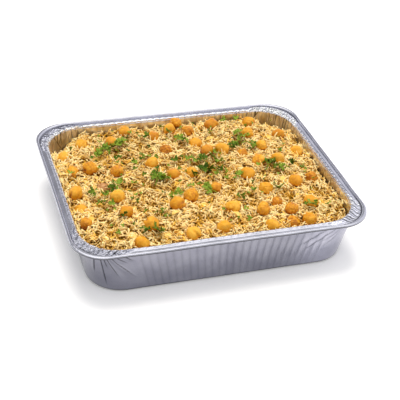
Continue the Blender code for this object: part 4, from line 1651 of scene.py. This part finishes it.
def leaf(length, width, arch, cup, fold):
    """A leaflet along X with its stalk at the origin: its points and faces."""
    outline_points = list(LEAF_EDGE) + [(a, -b) for a, b in reversed(LEAF_EDGE[:-1])]
    deselect_all()
    bpy.ops.mesh.primitive_circle_add(vertices=len(outline_points), fill_type="NGON")
    blade = bpy.context.object
    for vertex, (a, b) in zip(blade.data.vertices, outline_points):
        vertex.co = (a, -b, 0)
    bpy.ops.object.mode_set(mode="EDIT")
    bpy.ops.mesh.select_all(action="SELECT")
    bpy.ops.mesh.quads_convert_to_tris()
    bpy.ops.mesh.subdivide(number_cuts=1)
    bpy.ops.mesh.normals_make_consistent(inside=False)
    bpy.ops.object.mode_set(mode="OBJECT")
    for vertex in blade.data.vertices:
        a, b, _ = vertex.co
        wave = LEAF_WAVE * math.sin(9 * a + 3 * b) * (abs(b) + 0.3)
        height = fold * abs(b) + cup * b * b - arch * a * a + wave
        vertex.co = (a * length, b * width, height * length)
    skin = blade.modifiers.new("Thickness", "SOLIDIFY")
    skin.thickness = LEAF_THICKNESS
    bpy.ops.object.modifier_apply(modifier=skin.name)
    return parts_of(blade)


print("one leaflet has", len(leaf(0.01, 0.01, 0.0, 0.0, 0.0)[1]), "faces")

# %% [markdown]
# A stalk is a thin rod with six sides. Leaflets and stalks are put together as bare points and
# faces, because they are copied many times before they become a mesh.

# %% Stalks, and shapes put together
STALK_SIDES = 6
# How far a stalk reaches into its leaf.
STALK_IN_LEAF = 0.0006


def stalk(length, radius):
    """A thin stalk from the origin back along X."""
    deselect_all()
    bpy.ops.mesh.primitive_cylinder_add(vertices=STALK_SIDES, radius=radius, depth=length)
    rod = bpy.context.object
    bpy.ops.object.mode_set(mode="EDIT")
    bpy.ops.mesh.select_all(action="SELECT")
    bpy.ops.transform.rotate(value=math.pi / 2, orient_axis="Y", center_override=(0, 0, 0))
    bpy.ops.transform.translate(value=(-length / 2 + STALK_IN_LEAF, 0, 0))
    bpy.ops.object.mode_set(mode="OBJECT")
    return parts_of(rod)


def together(*shapes):
    """Several shapes as one."""
    points, faces, count = [], [], 0
    for shape_points, shape_faces in shapes:
        points.append(shape_points)
        faces += [tuple(v + count for v in face) for face in shape_faces]
        count += len(shape_points)
    return np.concatenate(points), faces


def placed(shape, yaw, move):
    """A shape turned about Z and then moved."""
    points, faces = shape
    turn = np.array(Matrix.Rotation(yaw, 3, "Z"))
    return points @ turn.T + np.array(move), faces


print("a stalk has", len(stalk(0.009, 0.0005)[1]), "faces")

# %% [markdown]
# From the leaflet come four kinds of herb: three leaflets on a stem, one leaflet on a short
# stalk, one that has curled up as it wilted, and a small chopped bit.

# %% Herb kinds
# The side leaflets are smaller than the middle one and stand off at these angles.
SIDE_SIZE, SIDE_TURNS = 0.78, (68, -64)


def sprig(size, arch, fold):
    """Three leaflets on one stalk."""
    middle = leaf(size, size * 0.95, arch, 0.3, fold)
    side = leaf(size * SIDE_SIZE, size * SIDE_SIZE, arch, 0.3, fold)
    return together(
        placed(middle, 0, (0.0015, 0, 0)),
        placed(side, math.radians(SIDE_TURNS[0]), (0, 0.0008, 0.0003)),
        placed(side, math.radians(SIDE_TURNS[1]), (0, -0.0008, 0.0003)),
        stalk(0.009, 0.0005),
    )


HERB_KINDS = {
    "parsley_sprigs": sprig(0.0088, 0.22, 0.25),
    "parsley_leaves": together(leaf(0.0105, 0.0100, 0.20, 0.5, 0.30), stalk(0.003, 0.0004)),
    "parsley_curled": leaf(0.0088, 0.0078, 0.55, 1.2, 0.10),
    "parsley_chopped": leaf(0.0045, 0.0040, 0.30, 0.8, 0.20),
}
for name, (points, faces) in HERB_KINDS.items():
    print(name, len(faces), "faces")

# %% [markdown]
# The larger leaves lie where they fell, most of them in a loose band across the middle. Their
# places are listed, because this arrangement is what makes the heap look like this meal.

# %% Where the larger herbs lie
# (x, y in millimetres, direction in degrees, size) for each sprig, leaf and curled leaf
SPRIGS = (
    (-72, 72, 30, 1.15), (-66, 76, 120, 1.0), (-86, 66, 200, 0.9), (17, 5, 60, 1.1),
    (15, 24, 100, 1.0), (29, 24, 10, 1.0), (2, 71, 30, 0.9), (-44, -5, 60, 1.2), (3, -38, 150, 1.0),
    (58, 43, 20, 0.9), (73, 70, 80, 0.9), (83, 40, 340, 1.0), (74, 59, 200, 0.9), (-31, -38, 80, 0.8),
)
LEAVES = (
    (-97, 56, 200, 0.9), (-84, 67, 60, 0.9), (-79, 42, 20, 0.7), (-62, 27, 160, 0.8), (-50, 40, 300, 0.8),
    (-134, 22, 40, 0.8), (-88, -6, 90, 0.8), (-97, -15, 250, 0.9), (-72, -11, 20, 0.8), (-96, -64, 180, 1.0),
    (-70, -98, 30, 1.35), (-82, -98, 170, 0.8), (-57, -70, 90, 0.7), (-27, 85, 20, 0.7), (-5, 86, 60, 0.8),
    (-12, 98, 0, 0.7), (-17, 25, 150, 0.9), (0, 25, 30, 0.9), (-37, -7, 340, 1.2), (10, 2, 150, 1.1),
    (33, 12, 20, 1.0), (65, 100, 150, 0.8), (82, 101, 20, 0.7), (46, -16, 70, 0.9), (-40, -44, 220, 0.9),
    (84, 2, 180, 0.9), (90, -1, 30, 0.9), (97, -13, 300, 0.9), (113, -5, 20, 0.8), (79, -50, 60, 1.2),
    (50, -48, 100, 0.7), (103, -88, 20, 1.2), (-4, 0, 30, 0.8), (-46, 3, 100, 1.0), (8, 64, 300, 0.8),
)
CURLED = (
    (-106, -24, 60, 0.9), (-120, -16, 200, 0.8), (-115, -39, 20, 0.9), (-105, -42, 140, 0.9),
    (-41, 83, 50, 0.7), (-34, 84, 220, 0.7), (20, -9, 80, 0.8), (35, -58, 20, 0.8), (121, -16, 60, 0.8),
    (6, 20, 40, 0.9), (70, 54, 10, 0.9), (64, 48, 240, 0.9), (-58, 84, 70, 0.8), (-92, -20, 0, 0.7),
    (28, 0, 120, 0.9), (94, -8, 120, 0.9), (-93, 60, 300, 0.8), (3, -30, 280, 0.8),
)
print(len(SPRIGS), "sprigs,", len(LEAVES), "leaves and", len(CURLED), "curled leaves")

# %% [markdown]
# A leaf lies on the grains, tipped a little any way. One that would lie on top of a chickpea
# slides down beside it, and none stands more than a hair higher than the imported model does.

# %% Lay the larger herbs
OVER_GRAINS, HERB_LIFT, HERB_TIP = 0.0004, 0.0006, 24
HERB_TOP = cad_box[1][2] + 0.0003
# A leaf's middle is at least this far from a chickpea's, in the chickpea's radii.
LEAF_BESIDE = 0.95
# A leaf rests on a chickpea only over its middle, and sinks in by a little.
PEA_MIDDLE, LEAF_SINK, PEA_TOP = 0.75, 0.04, 0.94
herb_rng = np.random.default_rng(23)


def surface_at(x, y):
    """The height of the top grains, or of a chickpea where one stands higher."""
    height = core_at(x, y) + TOP_LIFT + OVER_GRAINS
    for centre, radius in zip(pea_centres, pea_radii):
        across = np.minimum(np.hypot(x - centre[0], y - centre[1]) / radius, 1.0)
        dome = radius * (np.sqrt(1 - across ** 2) - LEAF_SINK) * PEA_TOP * (across < PEA_MIDDLE)
        height = np.maximum(height, centre[2] + dome)
    return height


def off_the_peas(x, y):
    """Moves leaves that would lie on top of a chickpea down beside it."""
    for centre, radius in zip(pea_centres, pea_radii):
        away = np.maximum(np.hypot(x - centre[0], y - centre[1]), 1e-6)
        reach = np.where(away < radius * LEAF_BESIDE, radius * LEAF_BESIDE / away, 1.0)
        x, y = centre[0] + (x - centre[0]) * reach, centre[1] + (y - centre[1]) * reach
    return x, y


def lay_herbs(name, x, y, yaw, sizes, tip_degrees):
    """One piece with a kind of herb at each place."""
    points, faces = HERB_KINDS[name]
    count = len(x)
    x, y = off_the_peas(x, y)
    tip = np.radians(herb_rng.normal(0, tip_degrees, count))
    ways = np.column_stack((np.cos(yaw) * np.cos(tip), np.sin(yaw) * np.cos(tip), np.sin(tip)))
    centres = np.column_stack((x, y, surface_at(x, y) + HERB_LIFT * sizes))
    roll = np.radians(herb_rng.normal(0, tip_degrees, count))
    middle = points - np.array((np.median(points[:, 0]), 0, 0))
    copies = turned_copies(middle, centres, ways, np.repeat(sizes[:, None], 3, axis=1), roll)
    copies[..., 2] -= np.maximum(copies[..., 2].max(axis=1) - HERB_TOP, 0)[:, None]
    piece = joined(name, copies, faces, tone=herb_rng.uniform(0, 1, count))
    print(name, count, "pieces,", len(piece.data.polygons), "faces")
    return piece


herb_pieces = []
for name, table in (("parsley_sprigs", SPRIGS), ("parsley_leaves", LEAVES), ("parsley_curled", CURLED)):
    x, y, yaw, sizes = (np.array(column, dtype=float) for column in zip(*table))
    herb_pieces.append(lay_herbs(name, x / 1000, y / 1000, np.radians(yaw), sizes, HERB_TIP))

# %% [markdown]
# Chopped bits are scattered round the larger leaves and a few over the whole heap. They stay
# clear of the walls and don't lie on chickpeas.

# %% Scatter the chopped herbs
CHOPPED_NEAR, CHOPPED_ANYWHERE, CHOPPED_TIP = 150, 110, 25
# How far the bits spread round a leaf, how clear they stay of a chickpea's middle and of the
# walls, how far from the walls' straight lines the loose ones stay, and their sizes.
CHOPPED_SPREAD, CHOPPED_CLEAR, CHOPPED_MARGIN, CHOPPED_SIZES = 0.006, 0.008, 0.02, (0.5, 1.3)

whole = np.array([place[:2] for place in SPRIGS + LEAVES + CURLED], dtype=float) / 1000
round_leaves = whole[herb_rng.integers(0, len(whole), CHOPPED_NEAR)]
round_leaves = round_leaves + herb_rng.normal(0, CHOPPED_SPREAD, (CHOPPED_NEAR, 2))
spread = herb_rng.uniform(-1, 1, (CHOPPED_ANYWHERE, 2))
spread = spread * (WALL_HALF_X - CHOPPED_MARGIN, WALL_HALF_Y - CHOPPED_MARGIN)
spots = np.concatenate((round_leaves, spread))
away = np.array([np.linalg.norm(spots - centre[:2], axis=1) for centre in pea_centres])
clear = np.all(away > CHOPPED_CLEAR, axis=0)
clear &= room_to_wall(*spots.T, RICE_MIDDLE) > CHOPPED_CLEAR
x, y = spots[clear].T
sizes = herb_rng.uniform(*CHOPPED_SIZES, len(x))
yaw = herb_rng.uniform(0, 2 * math.pi, len(x))
herb_pieces.append(lay_herbs("parsley_chopped", x, y, yaw, sizes, CHOPPED_TIP))

# %% [markdown]
# Wilted parsley is a dark yellow green, and every piece is a little different, so its own tone
# counts as much as the clouds on it.

# %% Herb finish
HERB_CLOUDS, HERB_OWN_TONE = 420.0, 0.6

herb_green, tree, shader = shader_material("parsley green")
shader.inputs["Roughness"].default_value = 0.5
shader.inputs["Specular IOR Level"].default_value = 0.12
tone = add_tone(tree, HERB_CLOUDS, 3.0, HERB_OWN_TONE)
shade = add_ramp(tree, (
    (0.3, (0.020, 0.046, 0.002)), (0.65, (0.080, 0.142, 0.006)), (0.95, (0.22, 0.31, 0.03)),
))
tree.links.new(tone.outputs["Value"], shade.inputs["Fac"])
tree.links.new(shade.outputs["Color"], shader.inputs["Base Color"])
for piece in herb_pieces:
    piece.data.materials.append(herb_green)
    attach(piece, "root")
print(herb_green.name, "on", len(herb_pieces), "pieces")

# %% [markdown]
# ## Onion, fried bits and spice
#
# Soft cooked onion shows between the grains as yellow slips, each a piece of a curved layer.
# There are also short brown fried strips, and dark specks of spice. A slip and a strip are the
# same shape in two sizes: a box cut finer, rounded at its ends and bent.

# %% A bent slip
def bent_slip(length, width, thickness, bend):
    """A slip along X, rounded at its ends and bent down."""
    deselect_all()
    bpy.ops.mesh.primitive_cube_add(size=2.0)
    slip = bpy.context.object
    bpy.ops.object.mode_set(mode="EDIT")
    bpy.ops.mesh.select_all(action="SELECT")
    bpy.ops.mesh.subdivide(number_cuts=3)
    bpy.ops.object.mode_set(mode="OBJECT")
    for vertex in slip.data.vertices:
        a, b, c = vertex.co
        narrow = math.sqrt(max(0.15, 1 - abs(a) ** 3))
        edge = 1 - 0.5 * abs(b) ** 3
        height = c * edge * thickness / 2 + bend * (0.5 - a * a) + 0.3 * bend * b * b
        vertex.co = (a * length / 2, b * narrow * width / 2, height)
    return parts_of(slip)


# (length, width, thickness, bend)
onion_slip = bent_slip(0.012, 0.0055, 0.0014, 0.0016)
fried_strip = bent_slip(0.0055, 0.0011, 0.0008, 0.0006)
print("a slip and a strip have", len(onion_slip[1]), "faces each")

# %% [markdown]
# The onion lies where it shows, in listed places. The strips and the specks are scattered over
# the whole heap, clear of the walls and the chickpeas.

# %% Small things in the rice
# (x, y in millimetres, direction in degrees) for each slip of onion
ONION_PLACES = (
    (-93, -97, 20), (-8, -58, 70), (-76, -36, 10), (-114, -91, 60), (-100, 55, 140), (-42, -68, 30),
    (-81, -45, 80), (-105, -28, 20), (60, -80, 40), (20, -85, 120), (92, -30, 60), (40, 70, 20),
    (-20, 60, 150), (-120, 10, 90), (65, 30, 30), (110, 60, 100), (-60, -100, 10), (0, 95, 60),
    (-130, -60, 70), (100, -60, 10),
)
FRIED_COUNT, FRIED_MARGIN, SPICE_COUNT, SPICE_MARGIN = 110, 0.008, 260, 0.006
SPECK_RADIUS = 0.00060
small_rng = np.random.default_rng(77)


def scatter(name, shape, x, y, yaw, sizes, tip_degrees, lift):
    """Copies of a small shape on the rice."""
    points, faces = shape
    tip = np.radians(small_rng.normal(0, tip_degrees, len(x)))
    ways = np.column_stack((np.cos(yaw) * np.cos(tip), np.sin(yaw) * np.cos(tip), np.sin(tip)))
    base = core_at(x, y) + TOP_LIFT
    centres = np.column_stack((x, y, base + lift))
    roll = np.radians(small_rng.normal(0, tip_degrees, len(x)))
    copies = turned_copies(points, centres, ways, np.repeat(sizes[:, None], 3, axis=1), roll)
    piece = joined(name, copies, faces, tone=small_rng.uniform(0, 1, len(x)))
    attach(piece, "root")
    print(name, len(x), "pieces")
    return piece


def anywhere(count, margin):
    """Places spread over the heap, clear of the walls and the chickpeas."""
    # Three times as many as are needed, because some fall by the walls or on chickpeas.
    spots = small_rng.uniform(-1, 1, (count * 3, 2)) * (WALL_HALF_X - margin, WALL_HALF_Y - margin)
    clear = room_to_wall(spots[:, 0], spots[:, 1], RICE_MIDDLE) > margin * 0.6
    for centre, radius in zip(pea_centres, pea_radii):
        clear &= np.linalg.norm(spots - centre[:2], axis=1) > radius * 0.85
    return spots[clear][:count].T


x, y, yaw = (np.array(column, dtype=float) for column in zip(*ONION_PLACES))
sizes = small_rng.uniform(0.75, 1.25, len(x))
onion = scatter("onion_slips", onion_slip, x / 1000, y / 1000, np.radians(yaw), sizes, 14, -0.0002)

x, y = anywhere(FRIED_COUNT, FRIED_MARGIN)
yaw = small_rng.uniform(0, 2 * math.pi, len(x))
sizes = small_rng.uniform(0.5, 1.3, len(x))
fried = scatter("fried_strips", fried_strip, x, y, yaw, sizes, 20, 0.0004)

deselect_all()
bpy.ops.mesh.primitive_uv_sphere_add(segments=6, ring_count=4, radius=SPECK_RADIUS)
speck = parts_of(bpy.context.object)
x, y = anywhere(SPICE_COUNT, SPICE_MARGIN)
yaw = small_rng.uniform(0, 2 * math.pi, len(x))
sizes = small_rng.uniform(0.6, 1.4, len(x))
spice = scatter("spice_specks", speck, x, y, yaw, sizes, 20, 0.0006)

# %% [markdown]
# These are all food that has cooked unevenly, so one helper makes their finishes, each between a
# dark and a light colour. Onion is wet and shines a little, and spice is dull.

# %% Finishes of the small things
def mottled(name, scale, roughness, dark, light):
    """A material whose colour wanders between two."""
    made, tree, shader = shader_material(name)
    shader.inputs["Roughness"].default_value = roughness
    shader.inputs["Specular IOR Level"].default_value = 0.15
    tone = add_tone(tree, scale, 3.0, 0.3)
    shade = add_ramp(tree, ((0.40, dark), (0.85, light)))
    tree.links.new(tone.outputs["Value"], shade.inputs["Fac"])
    tree.links.new(shade.outputs["Color"], shader.inputs["Base Color"])
    return made


onion.data.materials.append(mottled("cooked onion", 250.0, 0.3, (0.72, 0.42, 0.05), (0.88, 0.64, 0.20)))
fried.data.materials.append(mottled("fried onion", 500.0, 0.45, (0.24, 0.08, 0.01), (0.56, 0.23, 0.03)))
spice.data.materials.append(mottled("ground spice", 900.0, 0.6, (0.08, 0.025, 0.006), (0.26, 0.09, 0.02)))
print("finishes:", ", ".join(piece.data.materials[0].name for piece in (onion, fried, spice)))

# %% [markdown]
# ## The end
#
# The last cell prints the packed model's size.

# %% Size and finish
print("packed model", [round(v * 1000, 1) for corner in cad_box for v in corner], "mm")
